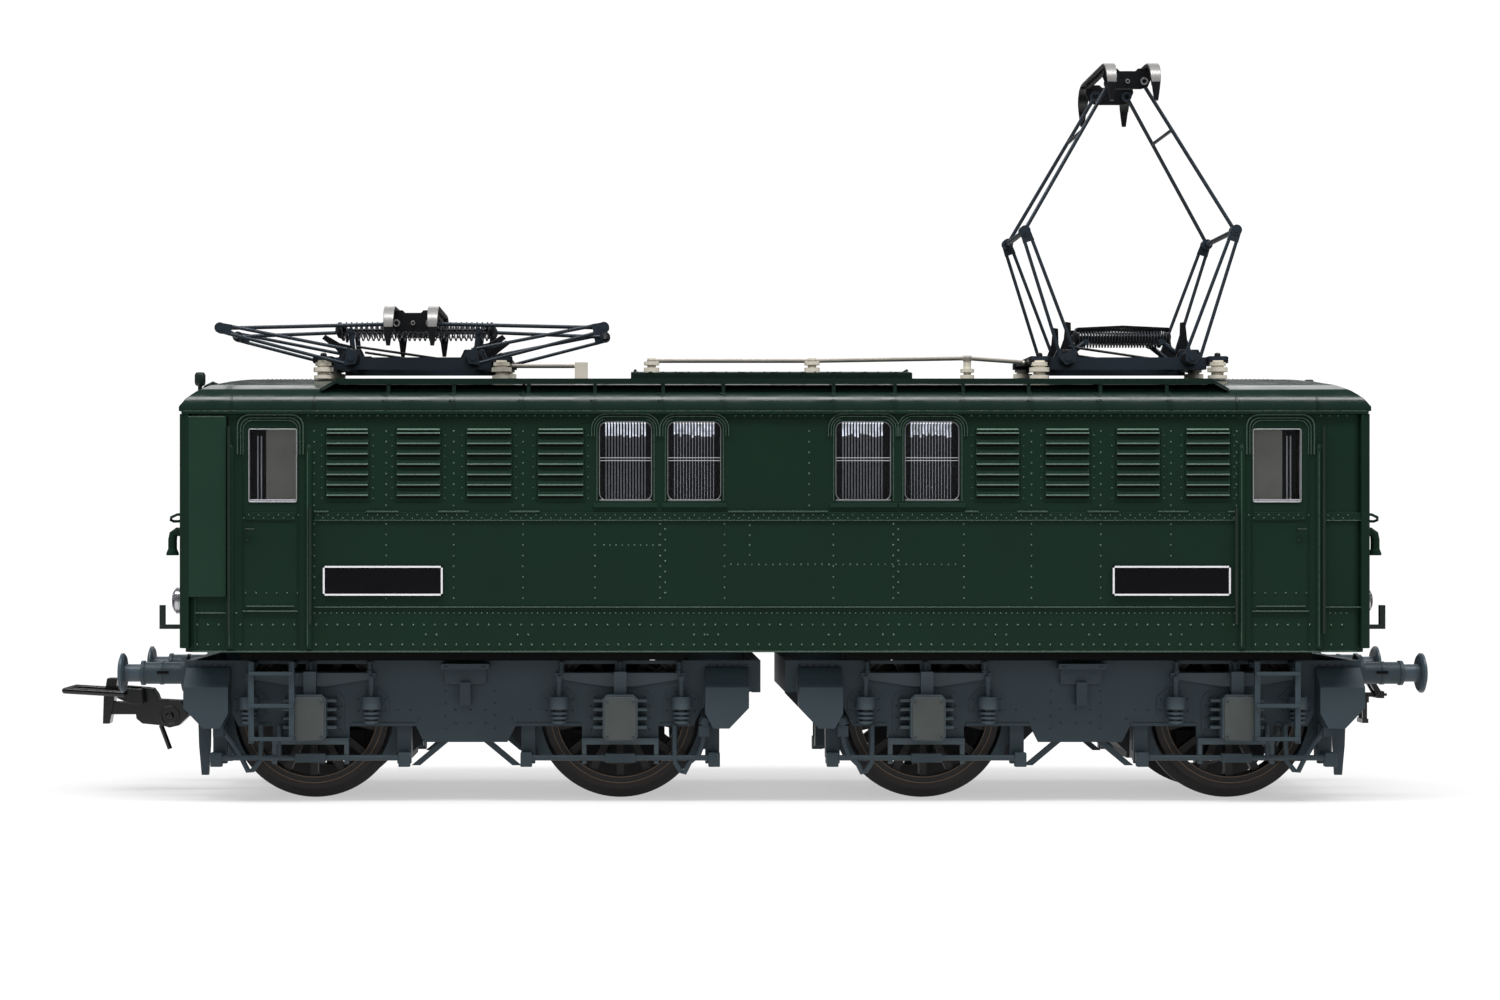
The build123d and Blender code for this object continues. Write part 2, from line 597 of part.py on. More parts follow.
def make_axleboxes():
    """Axleboxes with ribs, keeper bars, leaf springs and the coil springs beside them."""
    parts = []
    for x in (-HALF_WHEELBASE, HALF_WHEELBASE):
        for side in (-1, 1):
            cover = prism_y([(x - 1.95, 7.4), (x - 1.5, 6.9), (x + 1.5, 6.9), (x + 1.95, 7.4),
                             (x + 1.95, 11.6), (x + 1.5, 12.1), (x - 1.5, 12.1), (x - 1.95, 11.6)],
                            side * 12.6, side * 15.5)
            leaf = prism_y([(x - 7.3, 14.4), (x - 7.3, 13.8), (x - 1.6, 12.9), (x + 1.6, 12.9),
                            (x + 7.3, 13.8), (x + 7.3, 14.4)], side * 12.6, side * 13.2)
            group = [cover, leaf,
                     box(x - 0.7, x + 0.7, side * 12.6, side * 14.3, 12.0, 14.6),
                     box(x - 4.3, x + 4.3, side * 12.6, side * 13.6, 6.4, 7.1)]
            for d in (-1, 1):
                group.append(box(x + d * 3.8, x + d * 4.3, side * 12.6, side * 13.4, 4.2, 7.1))
                for z in (8.2, 9.2, 10.2, 11.2):
                    group.append(box(x + d * 1.9, x + d * 3.0, side * 12.6, side * 14.2, z, z + 0.35))
            parts.append(fuse(group))
            for dx in (-6.85, 6.85):
                y = side * 13.9
                spring = [disc_z(x + dx, y, 10.4, 11.8, 1.12), disc_z(x + dx, y, 11.7, 14.0, 0.27),
                          disc_z(x + dx, y, 8.7, 10.5, 0.5),
                          box(x + dx - 0.4, x + dx + 0.4, side * 12.6, side * 13.2, 10.6, 11.6)]
                for z, radius in ((9.95, 1.0), (9.45, 0.95), (8.95, 0.85)):
                    spring.append(disc_z(x + dx, y, z - 0.13, z + 0.13, radius))
                # the stem runs up to the end of the leaf spring
                spring.append(box(x + dx - 0.25, x + dx + 0.25, side * 13.2, side * 14.1, 13.5, 14.1))
                parts.append(fuse(spring))
    return parts


def make_brake_rigging():
    """Brake shoes with their hangers, the low pull rods and the centre levers."""
    parts = []
    for side in (-1, 1):
        y0, y1 = sorted((side * 8.3, side * 9.8))
        for x in (-HALF_WHEELBASE, HALF_WHEELBASE):
            group = []
            for d in (-1, 1):
                shoe = ring_y(x, y0, y1, AXLE_Z, 10.3, 9.0)
                shoe = shoe & box(x + d * 6.6, x + d * 11.0, y0, y1, 4.4, 10.4)
                group += [shoe, box(x + d * 9.9, x + d * 11.1, y0, y1, 4.6, 10.6),
                          box(x + d * 9.9, x + d * 11.1, side * 9.7, side * 13.0, 4.4, 5.5),
                          box(x + d * 9.6, x + d * 11.2, side * 11.0, side * 11.6, 4.1, 8.6),
                          box(x + d * 9.9, x + d * 11.2, side * 12.8, side * 13.9, 3.9, 5.5)]
            group.append(rod((x - 10.2, side * 13.4, 4.9), (x + 10.2, side * 13.4, 4.9), 0.32))
            group.append(box(x - 1.7, x + 1.7, side * 12.9, side * 13.9, 4.4, 5.4))
            parts.append(fuse(group))
        levers = []
        for d in (-1, 1):
            levers.append(prism_y([(d * 1.0, 7.4), (d * 2.0, 7.4), (d * 6.2, 3.9), (d * 5.2, 3.9)],
                                  side * 11.0, side * 11.6))
        levers.append(box(-2.2, 2.2, side * 10.8, side * 11.8, 6.9, 7.7))
        parts.append(fuse(levers))
    return parts


# ---------------------------------------------------------------- buffers and couplers
def make_buffer(side):
    """Sprung buffer: head and plunger."""
    y = side * 10.05
    head = revolve(make_face(Polyline((0, 0, 0), (2.0, 0, 0), (2.25, 0.2, 0), (2.25, 0.45, 0),
                                      (1.7, 0.65, 0), (0, 0.65, 0), close=True)), Axis.Y, 360)
    head = Pos(-38.75, y, 14.27) * Rot(0, 0, 90) * head
    plunger = disc_x(-39.0, -33.6, y, 14.27, 1.0)
    return fuse([head, plunger])


def make_coupler_shank():
    """Shank with the coupler head, in bogie coordinates."""
    parts = [disc_z(-27.5, 0, 8.2, 10.9, 2.0), box(-36.5, -27.5, -1.1, 1.1, 8.6, 10.5),
             box(-39.6, -36.2, -3.0, 3.0, 8.2, 12.4), box(-42.4, -39.6, -1.2, 1.2, 8.4, 10.2),
             box(-43.0, -42.2, -1.0, 1.0, 7.9, 13.2)]
    for side in (-1, 1):
        parts.append(box(-40.9, -39.4, side * 2.0, side * 3.0, 10.6, 12.4))
    parts.append(rod((-36.8, 0, 8.6), (-35.0, 0, 5.2), 0.4))
    shank = fuse(parts)
    shank -= disc_z(-27.5, 0, 7, 12, 0.8 + RUN)
    shank -= rod((-40.2, -4, 11.5), (-40.2, 4, 11.5), 0.40)
    return shank


def make_coupler_loop():
    """Lifting wire loop of the coupler."""
    y, z = 3.6, 11.5
    parts = [rod((-40.2, -y, z), (-40.2, y, z), 0.35)]
    for side in (-1, 1):
        parts.append(rod((-40.2, side * y, z), (-46.9, side * y, z + 0.4), 0.35))
        parts.append(Pos(-46.9, side * y, z + 0.4) * Sphere(0.35))
        parts.append(Pos(-40.2, side * y, z) * Sphere(0.35))
    parts.append(rod((-46.9, -y, z + 0.4), (-46.9, y, z + 0.4), 0.35))
    return fuse(parts)


def make_screw_link():
    """Screw coupling on the drawhook: links, screw with its handle, and the shackle below."""
    parts = []
    for side in (-1, 1):
        y0, y1 = sorted((side * 0.75, side * 1.15))
        parts.append(ring_y(-35.6, y0, y1, 13.4, 0.75, 0.35 + RUN))
        parts.append(prism_y([(-36.1, 12.95), (-35.5, 12.75), (-36.5, 11.0), (-37.1, 11.3)], y0, y1))
        parts.append(box(-35.25, -34.75, side * 0.7, side * 1.1, 8.3, 10.6))
    parts.append(box(-37.2, -36.4, -1.3, 1.3, 10.9, 11.7))
    parts.append(box(-37.0, -34.9, -0.3, 0.3, 11.0, 11.5))
    parts.append(box(-37.8, -37.1, -0.18, 0.18, 11.1, 11.4))
    parts.append(box(-35.4, -34.6, -1.35, 1.35, 10.4, 11.2))
    parts.append(box(-35.35, -34.65, -1.3, 1.3, 8.0, 8.5))
    return fuse(parts)


# ---------------------------------------------------------------- pantographs
CRANK = 3.34                # spring crank length
CRANK_ANGLE = {-1: 96.6, 1: 38.0}
SPRING_Y = 3.8


def upper_angle(alpha):
    """Angle of the upper arms above level for a lower arm angle."""
    reach = PANTO_PIVOT_HALF + LOWER_ARM * math.cos(math.radians(alpha)) - HEAD_HALF
    return math.degrees(math.acos(min(1.0, reach / UPPER_ARM)))


def pivot_point(s, side):
    return s * PANTO_X + side * PANTO_PIVOT_HALF, PANTO_PIVOT_Z


def knuckle_point(s, side):
    alpha = math.radians(REST_ANGLE[s])
    px, pz = pivot_point(s, side)
    return px + side * LOWER_ARM * math.cos(alpha), pz + LOWER_ARM * math.sin(alpha)


def head_point(s, side):
    beta = math.radians(upper_angle(REST_ANGLE[s]))
    kx, kz = knuckle_point(s, side)
    return s * PANTO_X + side * HEAD_HALF, kz + UPPER_ARM * math.sin(beta)


def crank_point(s, side):
    angle = math.radians(CRANK_ANGLE[s])
    px, pz = pivot_point(s, side)
    return px - side * CRANK * math.cos(angle), pz + CRANK * math.sin(angle)


def make_panto_base(s):
    """Base frame with the bearings of both lower arms."""
    cx = s * PANTO_X
    parts = []
    for y in (-6.4, 6.4):
        parts.append(box(cx - 9.0, cx + 9.0, y - 0.3, y + 0.3, 48.9, 50.3))
    for x in (-10.2, 10.2):
        parts.append(box(cx + x - 1.0, cx + x + 1.0, -7.4, 7.4, 49.9, 50.4))
        parts.append(box(cx + x * 0.85 - 0.5, cx + x * 0.85 + 0.5, -6.6, 6.6, 49.3, 50.1))
        for y in (-6.4, 6.4):
            parts.append(box(cx + x * 0.8, cx + x, y - 0.3, y + 0.3, 49.3, 50.1))
    parts.append(box(cx - 9.0, cx + 9.0, -0.4, 0.4, 49.3, 49.9))
    for side in (-1, 1):
        px, pz = pivot_point(s, side)
        for y in (-6.4, 6.4):
            parts.append(prism_y([(px - 1.3, 50.2), (px - 0.9, 51.1), (px + 0.9, 51.1), (px + 1.3, 50.2),
                                  (px + 1.0, 49.2), (px - 1.0, 49.2)], y - 0.3, y + 0.3))
    base = fuse(parts)
    for side in (-1, 1):
        px, pz = pivot_point(s, side)
        base -= disc_y(px, -10, 10, pz, 0.4 + RUN)
    return base


def make_insulators(s):
    """Insulators under the corners of one base frame."""
    parts = []
    for x in (-10.2, 10.2):
        for y in (-7.0, 7.0):
            cx = s * PANTO_X + x
            parts.append(fuse([disc_z(cx, y, 47.8, 49.9, 0.7), disc_z(cx, y, 47.8, 48.2, 1.1),
                               disc_z(cx, y, 48.6, 49.1, 1.15), disc_z(cx, y, 49.3, 49.7, 0.95)]))
    return parts


def make_lower_arm(s, side):
    """Lower arm frame: base shaft, forked arms on both sides, knuckle tube and spring cranks."""
    px, pz = pivot_point(s, side)
    kx, kz = knuckle_point(s, side)
    ux, uz = (kx - px) / LOWER_ARM, (kz - pz) / LOWER_ARM
    nx, nz = -uz, ux
    arm_y = ARM_Y[side]
    parts = [disc_y(px, -arm_y - 0.3, arm_y + 0.3, pz, 0.4),
             disc_y(kx, -arm_y - 0.3, arm_y + 0.3, kz, 0.3)]
    for y in (-arm_y, arm_y):
        for spread in (-1, 1):
            low = (px + nx * spread * 0.85, y, pz + nz * spread * 0.85)
            high = (kx + nx * spread * 0.40, y, kz + nz * spread * 0.40)
            parts.append(rod(low, high, 0.2))
        # the eye and the fork's root at the knuckle, and the foot round the base shaft
        eye = prism_y([(kx + nx * 0.55 + ux * 0.3, kz + nz * 0.55 + uz * 0.3),
                       (kx - nx * 0.55 + ux * 0.3, kz - nz * 0.55 + uz * 0.3),
                       (kx - nx * 0.65 - ux * 1.3, kz - nz * 0.65 - uz * 1.3),
                       (kx + nx * 0.65 - ux * 1.3, kz + nz * 0.65 - uz * 1.3)], y - 0.2, y + 0.2)
        foot = prism_y([(px + nx * 1.05 + ux * 0.6, pz + nz * 1.05 + uz * 0.6),
                        (px - nx * 1.05 + ux * 0.6, pz - nz * 1.05 + uz * 0.6),
                        (px - nx * 0.6 - ux * 0.7, pz - nz * 0.6 - uz * 0.7),
                        (px + nx * 0.6 - ux * 0.7, pz + nz * 0.6 - uz * 0.7)], y - 0.22, y + 0.22)
        parts += [eye, foot, disc_y(kx, y - 0.25, y + 0.25, kz, 0.62)]
    qx, qz = crank_point(s, side)
    for y in (-SPRING_Y, SPRING_Y):
        parts.append(rod((px, y, pz), (qx, y, qz), 0.3))
        parts.append(disc_y(qx, y - 0.4, y + 0.4, qz, 0.34))
    return fuse(parts)


def make_upper_arm(s, side):
    """Upper arm frame: two rods with an eye at each end, joined by cross ties."""
    kx, kz = knuckle_point(s, side)
    hx, hz = head_point(s, side)
    ux, uz = (hx - kx) / UPPER_ARM, (hz - kz) / UPPER_ARM
    root_y, tip_y = ARM_Y[side] - 0.9, TIP_Y[side]
    parts = []
    for edge in (-1, 1):
        low = (kx + ux * 0.5, edge * root_y, kz + uz * 0.5)
        high = (hx - ux * 0.45, edge * tip_y, hz - uz * 0.45)
        parts.append(rod(low, high, 0.22))
        parts.append(ring_y(kx, edge * root_y - 0.3, edge * root_y + 0.3, kz, 0.62, 0.3 + RUN))
        parts.append(ring_y(hx, edge * tip_y - 0.25, edge * tip_y + 0.25, hz, 0.58, 0.27 + RUN))
    tie_at = 0.68
    y1 = root_y + (tip_y - root_y) * tie_at
    x1, z1 = kx + ux * UPPER_ARM * tie_at, kz + uz * UPPER_ARM * tie_at
    parts.append(rod((x1, -y1, z1), (x1, y1, z1), 0.2))
    return fuse(parts)


def make_head(s):
    """Collector head: two pans across the track with turned-down horns, on two side plates."""
    cx = s * PANTO_X
    lx, lz = head_point(s, -1)
    rx, rz = head_point(s, 1)
    parts = []
    for edge in (-1, 1):
        parts.append(disc_y(lx, *sorted((edge * 4.6, edge * 6.2)), lz, 0.27))
        parts.append(disc_y(rx, *sorted((edge * 5.85, edge * 6.2)), rz, 0.45))
        plate = prism_y([(cx - 2.4, lz - 0.5), (cx + 2.4, lz - 0.5), (cx + 2.9, lz + 0.6),
                         (cx + 2.7, lz + 1.5), (cx - 2.7, lz + 1.5), (cx - 2.9, lz + 0.6)],
                        edge * 6.05, edge * 6.4)
        parts.append(plate)
    for dx in (-2.5, 2.5):
        top = lz + 1.9
        curve = [(-11.0, top - 4.8), (-10.85, top - 2.4), (-10.4, top - 1.3), (-9.7, top - 0.55),
                 (-8.6, top - 0.12), (-7.0, top), (7.0, top), (8.6, top - 0.12), (9.7, top - 0.55),
                 (10.4, top - 1.3), (10.85, top - 2.4), (11.0, top - 4.8)]
        under = [(y - math.copysign(0.42, y) * (abs(y) > 7.1), z - 0.45 * (abs(y) < 10.0))
                 for y, z in reversed(curve)]
        parts.append(prism_x(curve + under, cx + dx - 0.6, cx + dx + 0.6))
    return fuse(parts)


def make_springs(s):
    """Raising springs between the cranks of the two lower arms."""
    lx, lz = crank_point(s, -1)
    rx, rz = crank_point(s, 1)
    parts = []
    for y in (-SPRING_Y, SPRING_Y):
        coils = [rod((lx + 0.35, y, lz), (rx - 0.35, y, rz), 0.3)]
        count = 16
        for k in range(count):
            x = lx + 1.0 + (rx - lx - 2.0) * k / (count - 1)
            coils.append(disc_x(x - 0.12, x + 0.12, y, lz, 0.6))
        parts.append(fuse(coils))
    return parts


# ---------------------------------------------------------------- all nodes
def main():
    train = gear_train()
    write("body_shell", make_body_shell())
    write("roof_shell", make_roof_shell())
    write("roof_hatch", make_roof_hatch())
    write("window_glazing", make_glazing())
    write("louvre_panels", make_louvres())
    write("nameplates", make_nameplates())
    write("handrails", make_handrails())
    write("headlights", make_headlights())
    write("cab_interiors", make_cab_interiors())
    write("chassis_frame", make_chassis())
    write("bogie_retainers", make_retainers())
    write("circuit_board", [box(-30, 30, -12, 12, 34.0, 35.4)]
          + [box(x - 1.5, x + 1.5, side * 9.0, side * 13.0, 29.0, 34.0) for x in (-24, 24)
             for side in (-1, 1)])
    write("motor_can", make_motor_can())
    write("motor_rotor", make_rotor())
    insulators = [make_insulators(-1), make_insulators(1)]
    write("roof_conductors", make_roof_conductors() + insulators)
    for number, s in ((1, -1), (2, 1)):
        write(f"cardan_{number}", make_cardan(s))
        write(f"worm_{number}", make_worm_body(s))
        for name in ("worm_wheel", "idler_outer", "idler_inner"):
            teeth = WORM_WHEEL_TEETH if name == "worm_wheel" else IDLER_TEETH
            cx, cz, phase = train[name]
            wheel = gear(teeth, cx, cz, phase, 0.8, 0.8 + RUN)
            write(f"bogie_{number}_{name}", place(wheel, s))
        for name in ("outer", "inner"):
            write(f"bogie_{number}_wheelset_{name}", place(make_wheelset(train, "axle_" + name), s))
        write(f"bogie_{number}_gearbox", place(make_gearbox(), s))
        write(f"bogie_{number}_keeper", place(make_keeper(), s))
        write(f"bogie_{number}_frame", place(make_bogie_frame(s), s))
        write(f"bogie_{number}_axleboxes", place(make_axleboxes(), s))
        write(f"bogie_{number}_brakes", place(make_brake_rigging(), s))
        for side, name in ((-1, "a"), (1, "b")):
            write(f"bogie_{number}_buffer_{name}", place(make_buffer(side), s))
        write(f"pantograph_{number}_base", make_panto_base(s))
        write(f"pantograph_{number}_lower_left", make_lower_arm(s, -1))
        write(f"pantograph_{number}_lower_right", make_lower_arm(s, 1))
        write(f"pantograph_{number}_upper_left", make_upper_arm(s, -1))
        write(f"pantograph_{number}_upper_right", make_upper_arm(s, 1))
        write(f"pantograph_{number}_head", make_head(s))
        write(f"pantograph_{number}_springs", make_springs(s))
    write("coupler_shank", place(make_coupler_shank(), -1))
    write("coupler_loop", place(make_coupler_loop(), -1))
    write("screw_link", place(make_screw_link(), 1))


main()
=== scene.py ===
"""Looks of the model electric locomotive: finishes, rivets, mouldings and fittings round the frame.

Blender works in metres.  The sizes below are millimetres, and make() turns them into metres.
The near side is at -Y.  The far side is the near side turned half a turn about the vertical axis.
"""

import random
from math import cos, pi, radians, sin

import bmesh
import bpy
from mathutils import Matrix, Vector


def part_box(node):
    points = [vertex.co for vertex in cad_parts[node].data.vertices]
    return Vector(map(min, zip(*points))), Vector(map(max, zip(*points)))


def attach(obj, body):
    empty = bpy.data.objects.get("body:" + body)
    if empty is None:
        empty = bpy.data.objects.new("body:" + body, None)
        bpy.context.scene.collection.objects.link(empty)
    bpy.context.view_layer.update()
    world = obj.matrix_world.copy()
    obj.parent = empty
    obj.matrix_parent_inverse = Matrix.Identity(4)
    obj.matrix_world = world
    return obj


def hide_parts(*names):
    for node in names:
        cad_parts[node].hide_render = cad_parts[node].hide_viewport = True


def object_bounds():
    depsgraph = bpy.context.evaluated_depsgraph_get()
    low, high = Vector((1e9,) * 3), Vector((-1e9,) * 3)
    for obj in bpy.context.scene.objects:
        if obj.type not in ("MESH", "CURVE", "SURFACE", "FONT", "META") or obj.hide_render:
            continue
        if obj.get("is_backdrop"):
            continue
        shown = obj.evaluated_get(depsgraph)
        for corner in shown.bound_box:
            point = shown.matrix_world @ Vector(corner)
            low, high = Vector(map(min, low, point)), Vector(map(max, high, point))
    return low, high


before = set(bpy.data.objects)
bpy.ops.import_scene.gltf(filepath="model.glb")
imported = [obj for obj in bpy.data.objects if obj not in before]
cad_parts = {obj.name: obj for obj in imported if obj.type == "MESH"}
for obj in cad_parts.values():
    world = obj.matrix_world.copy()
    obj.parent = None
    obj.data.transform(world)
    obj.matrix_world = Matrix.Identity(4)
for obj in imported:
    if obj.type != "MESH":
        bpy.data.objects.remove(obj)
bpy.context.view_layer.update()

MM = 0.001
UP = (0, 0, 1)
random.seed(16)


def span(node):
    """Lowest and highest corner of a CAD node, in millimetres."""
    low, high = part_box(node)
    return low / MM, high / MM


# ---------------------------------------------------------------- places read from the frame
shell_low, shell_high = span("body_shell")
HALF_L = shell_high.x - 0.2             # the gutter stands 0.2 out at the ends
WALL_Y = shell_low.y + 0.4              # outer face of the near side; the gutter stands 0.4 out
FLOOR_Z = shell_low.z
AXLES = {}
for bogie in (1, 2):
    for place in ("outer", "inner"):
        low, high = span(f"bogie_{bogie}_wheelset_{place}")
        AXLES[bogie, place] = (low + high) / 2
PIVOT_X = (AXLES[2, "outer"].x + AXLES[2, "inner"].x) / 2
HALF_BASE = (AXLES[2, "outer"].x - AXLES[2, "inner"].x) / 2
AXLE_Z = AXLES[1, "outer"].z

# side openings and panel joints, as the CAD source has them
LOUVRES = [(-50.0, -45.0), (-42.2, -37.0), (-34.4, -29.1), (-26.5, -21.1), (22.2, 27.3), (29.9, 35.1),
        (37.8, 42.9), (45.5, 50.7)]
WINDOWS = [(-19.6, -13.6), (-12.0, -5.9), (6.7, 13.0), (14.4, 20.6)]
DOOR_WINDOWS = [(-58.5, -53.1), (53.1, 58.5)]
LOUVRE_Z = (33.5, 41.7)
WINDOW_Z = (33.7, 42.6)
DOOR_WINDOW_Z = (33.6, 41.7)
JOINTS_X = [-60.4, -51.2, -43.2, -35.7, -28.0, -20.0, -12.5, -5.6, 6.5, 13.4, 21.0, 28.5, 36.2, 44.0,
        51.3, 60.3]
DOORS = [(-59.7, -52.4), (52.4, 59.9)]
PILLARS = [-60.5, -51.8, 51.9, 60.5]
BELT_Z = (31.55, 32.45)
RAIL_Z = 21.9
TYRE_FACE = 9.93                        # outer face of the tyres
BOGIE_FACE = 12.6                       # outer face of the bogie side frames
ARM_PIVOT_Z = 50.2                      # shafts at the feet of the lower arms
ARM_PIVOT_X = 7.0                       # half the distance between those shafts
ARM_TRAVEL = 58.2                       # degrees from folded to raised
PLATES_X = ((-50.2, -36.9), (37.5, 50.6))
ROOF_HALF = [(17.3, 43.7), (17.3, 44.1), (17.0, 44.9), (16.4, 45.6), (15.5, 46.2), (14.0, 46.7)]


# ---------------------------------------------------------------- finishes
def linear(rgb):
    """Linear colour of a display colour given from 0 to 255."""
    return [((c / 255 + 0.055) / 1.055) ** 2.4 if c > 10 else c / 255 / 12.92 for c in rgb] + [1.0]


class Nodes:
    """Short way to build a material's node tree."""

    def __init__(self, name):
        self.material = bpy.data.materials.new(name)
        self.material.use_nodes = True
        self.tree = self.material.node_tree
        self.shader = self.tree.nodes["Principled BSDF"]
        self.where = self.node("ShaderNodeTexCoord").outputs["Object"]

    def node(self, kind, values=None):
        """New node with the given values on its inputs."""
        made = self.tree.nodes.new(kind)
        for key, value in (values or {}).items():
            made.inputs[key].default_value = value
        return made

    def link(self, out, into):
        self.tree.links.new(out, into)

    def shade(self, values):
        """Set plain values of the surface."""
        for key, value in values.items():
            self.shader.inputs[key].default_value = value

    def scaled(self, scale):
        """Object coordinates times a scale."""
        mapping = self.node("ShaderNodeMapping", {"Scale": scale})
        self.link(self.where, mapping.inputs["Vector"])
        return mapping.outputs["Vector"]

    def noise(self, size, detail=2.0, stretch=(1, 1, 1)):
        """Noise whose blobs are about size millimetres across."""
        noise = self.node("ShaderNodeTexNoise", {"Scale": 1.0, "Detail": detail})
        self.link(self.scaled([s / (size * MM) for s in stretch]), noise.inputs["Vector"])
        return noise.outputs["Fac"]

    def spread(self, value, low, high, seen=(0.3, 0.7)):
        """Value that mostly keeps within seen, brought to the range low to high."""
        ranged = self.node("ShaderNodeMapRange", {"From Min": seen[0], "From Max": seen[1],
                "To Min": low, "To Max": high})
        self.link(value, ranged.inputs["Value"])
        return ranged.outputs["Result"]

    def mix(self, share, first, second):
        mixed = self.node("ShaderNodeMix")
        mixed.data_type = "RGBA"
        mixed.inputs["A"].default_value = first
        mixed.inputs["B"].default_value = second
        self.link(share, mixed.inputs["Factor"])
        return [out for out in mixed.outputs if out.type == "RGBA"][0]

    def bump(self, height, depth):
        """Bump of depth millimetres."""
        bump = self.node("ShaderNodeBump", {"Strength": 1.0, "Distance": depth * MM})
        self.link(height, bump.inputs["Height"])
        self.link(bump.outputs["Normal"], self.shader.inputs["Normal"])


FINISHES = {}


def paint(name, colour, rough, specular=0.4, metal=0.0, variation=0.10, patch=9.0, grain=0.35,
        depth=0.006, stretch=(1, 1, 1), glow=0.0):
    """Painted, moulded or metal finish: patchy colour, fine grain and uneven gloss; glow adds painted
    light given off by the surface.
    """
    nodes = Nodes(name)
    base = linear(colour)
    dark = [c * (1 - variation) for c in base[:3]] + [1]
    light = [c * (1 + variation) for c in base[:3]] + [1]
    share = nodes.spread(nodes.noise(patch, 3.0), 0.0, 1.0)
    patchy = nodes.mix(share, dark, light)
    nodes.link(patchy, nodes.shader.inputs["Base Color"])
    # glow makes the surface give off light in its own colour: painted light, on parts that are no lamp
    if glow:
        nodes.link(patchy, nodes.shader.inputs["Emission Color"])
        nodes.shade({"Emission Strength": glow})
    fine = nodes.noise(grain, 3.0, stretch)
    nodes.link(nodes.spread(fine, rough - 0.05, rough + 0.05), nodes.shader.inputs["Roughness"])
    nodes.bump(fine, depth)
    nodes.shade({"Metallic": metal, "Specular IOR Level": specular})
    FINISHES[name] = nodes.material


def glaze(name):
    """Clear moulded glazing with faint unevenness."""
    nodes = Nodes(name)
    nodes.shade({"Base Color": linear((214, 216, 222)), "Transmission Weight": 1.0, "IOR": 1.45})
    fine = nodes.noise(1.5, 2.0)
    nodes.link(nodes.spread(fine, 0.02, 0.06), nodes.shader.inputs["Roughness"])
    nodes.bump(fine, 0.004)
    FINISHES[name] = nodes.material


paint("body_green", (19, 38, 29), 0.42, 0.10, variation=0.06, grain=0.5, depth=0.004)
paint("slab_green", (28, 49, 39), 0.42, 0.10, variation=0.06, grain=0.5, depth=0.004)
# lighter, glossier copy of the body green: painted highlight on the edges of the mouldings
paint("highlight_green", (52, 72, 62), 0.28, 0.6, variation=0.10, grain=0.5, depth=0.004)
# lighter, glossier copy of the body green: painted highlight on each rivet head
paint("rivet_highlight_green", (52, 74, 62), 0.25, 0.7, variation=0.15, patch=2.0)
# light strips along the louvre lips: painted highlight
paint("louvre_highlight", (84, 104, 94), 0.28, 0.6, variation=0.10, patch=3.0)
paint("roof_green", (17, 32, 27), 0.20, 0.35, variation=0.06, grain=3.0, depth=0.001)
glaze("window_clear")
paint("plate_black", (8, 8, 11), 0.35, 0.15, grain=0.3)
paint("plate_white", (214, 212, 216), 0.5, 0.3, variation=0.04, grain=0.3)
paint("trim_dark", (24, 36, 31), 0.35, 0.4)
paint("lamp_silver", (188, 188, 192), 0.28, 0.5, metal=0.9, depth=0.003)
paint("window_frame", (138, 140, 142), 0.35, 0.5, metal=0.4, depth=0.003)
paint("door_frame", (168, 168, 172), 0.3, 0.5, metal=0.5, depth=0.003)
# the grille bars glow: painted light on their grey
paint("grille_grey_painted_light", (166, 168, 170), 0.45, 0.4, glow=0.25)
# dark sheet for the shaded inside seen through the windows: painted shade, with a faint painted glow
paint("interior_painted_shade", (28, 27, 29), 0.6, 0.2, glow=0.08)
# glowing white strips: painted light seen through the windows
paint("window_painted_light", (222, 224, 228), 0.5, 0.3, variation=0.3, patch=0.6, glow=0.6)
# the blinds glow: painted light on their grey
paint("blind_grey_painted_light", (104, 103, 96), 0.6, 0.2, variation=0.12, patch=5.0, glow=0.55)
paint("cab_grey", (104, 106, 102), 0.65, 0.3)
paint("chassis_zinc", (44, 44, 46), 0.55, 0.4, metal=0.4, grain=0.6, depth=0.02)
# flat black for sheets that stand in for shade: painted shadow in slits, slots, gaps and under the body
paint("painted_shadow_black", (10, 9, 9), 0.7, 0.1)
paint("board_green", (24, 72, 42), 0.4, 0.4)
paint("motor_steel", (150, 150, 150), 0.35, 0.5, metal=0.9, stretch=(12, 1, 1))
paint("rotor_brass", (190, 150, 84), 0.3, 0.5, metal=1.0, stretch=(12, 1, 1))
paint("shaft_black", (24, 24, 25), 0.5, 0.4)
paint("gear_plastic", (198, 194, 182), 0.45, 0.4)
paint("bogie_grey", (46, 57, 63), 0.45, 0.25, variation=0.08, grain=0.3, depth=0.006)
paint("axlebox_grey", (62, 66, 65), 0.45, 0.3, variation=0.10, patch=3.0)
paint("gearbox_dark", (26, 28, 32), 0.55, 0.3)
paint("spring_blue", (56, 67, 73), 0.42, 0.3, variation=0.08, grain=0.3)
paint("wheel_dark", (33, 31, 31), 0.40, 0.4, metal=0.4)
paint("rim_brown", (26, 22, 20), 0.42, 0.4, metal=0.2)
# light lines at the tyre edges: painted highlight
paint("rim_highlight", (84, 70, 58), 0.35, 0.5, metal=0.5)
paint("buffer_grey", (56, 68, 76), 0.40, 0.4)
paint("coupler_black", (5, 6, 8), 0.22, 0.5, depth=0.003)
paint("insulator_cream", (206, 200, 186), 0.35, 0.5, variation=0.05)
paint("panto_dark", (32, 40, 48), 0.35, 0.4)
paint("panto_black", (14, 15, 18), 0.30, 0.5)
paint("bus_rod", (172, 166, 158), 0.35, 0.5, metal=0.6)
paint("pan_silver", (134, 133, 132), 0.32, 0.5, metal=0.45, variation=0.05, grain=2.0, depth=0.001)
paint("spring_steel", (86, 88, 94), 0.30, 0.5, metal=0.6)

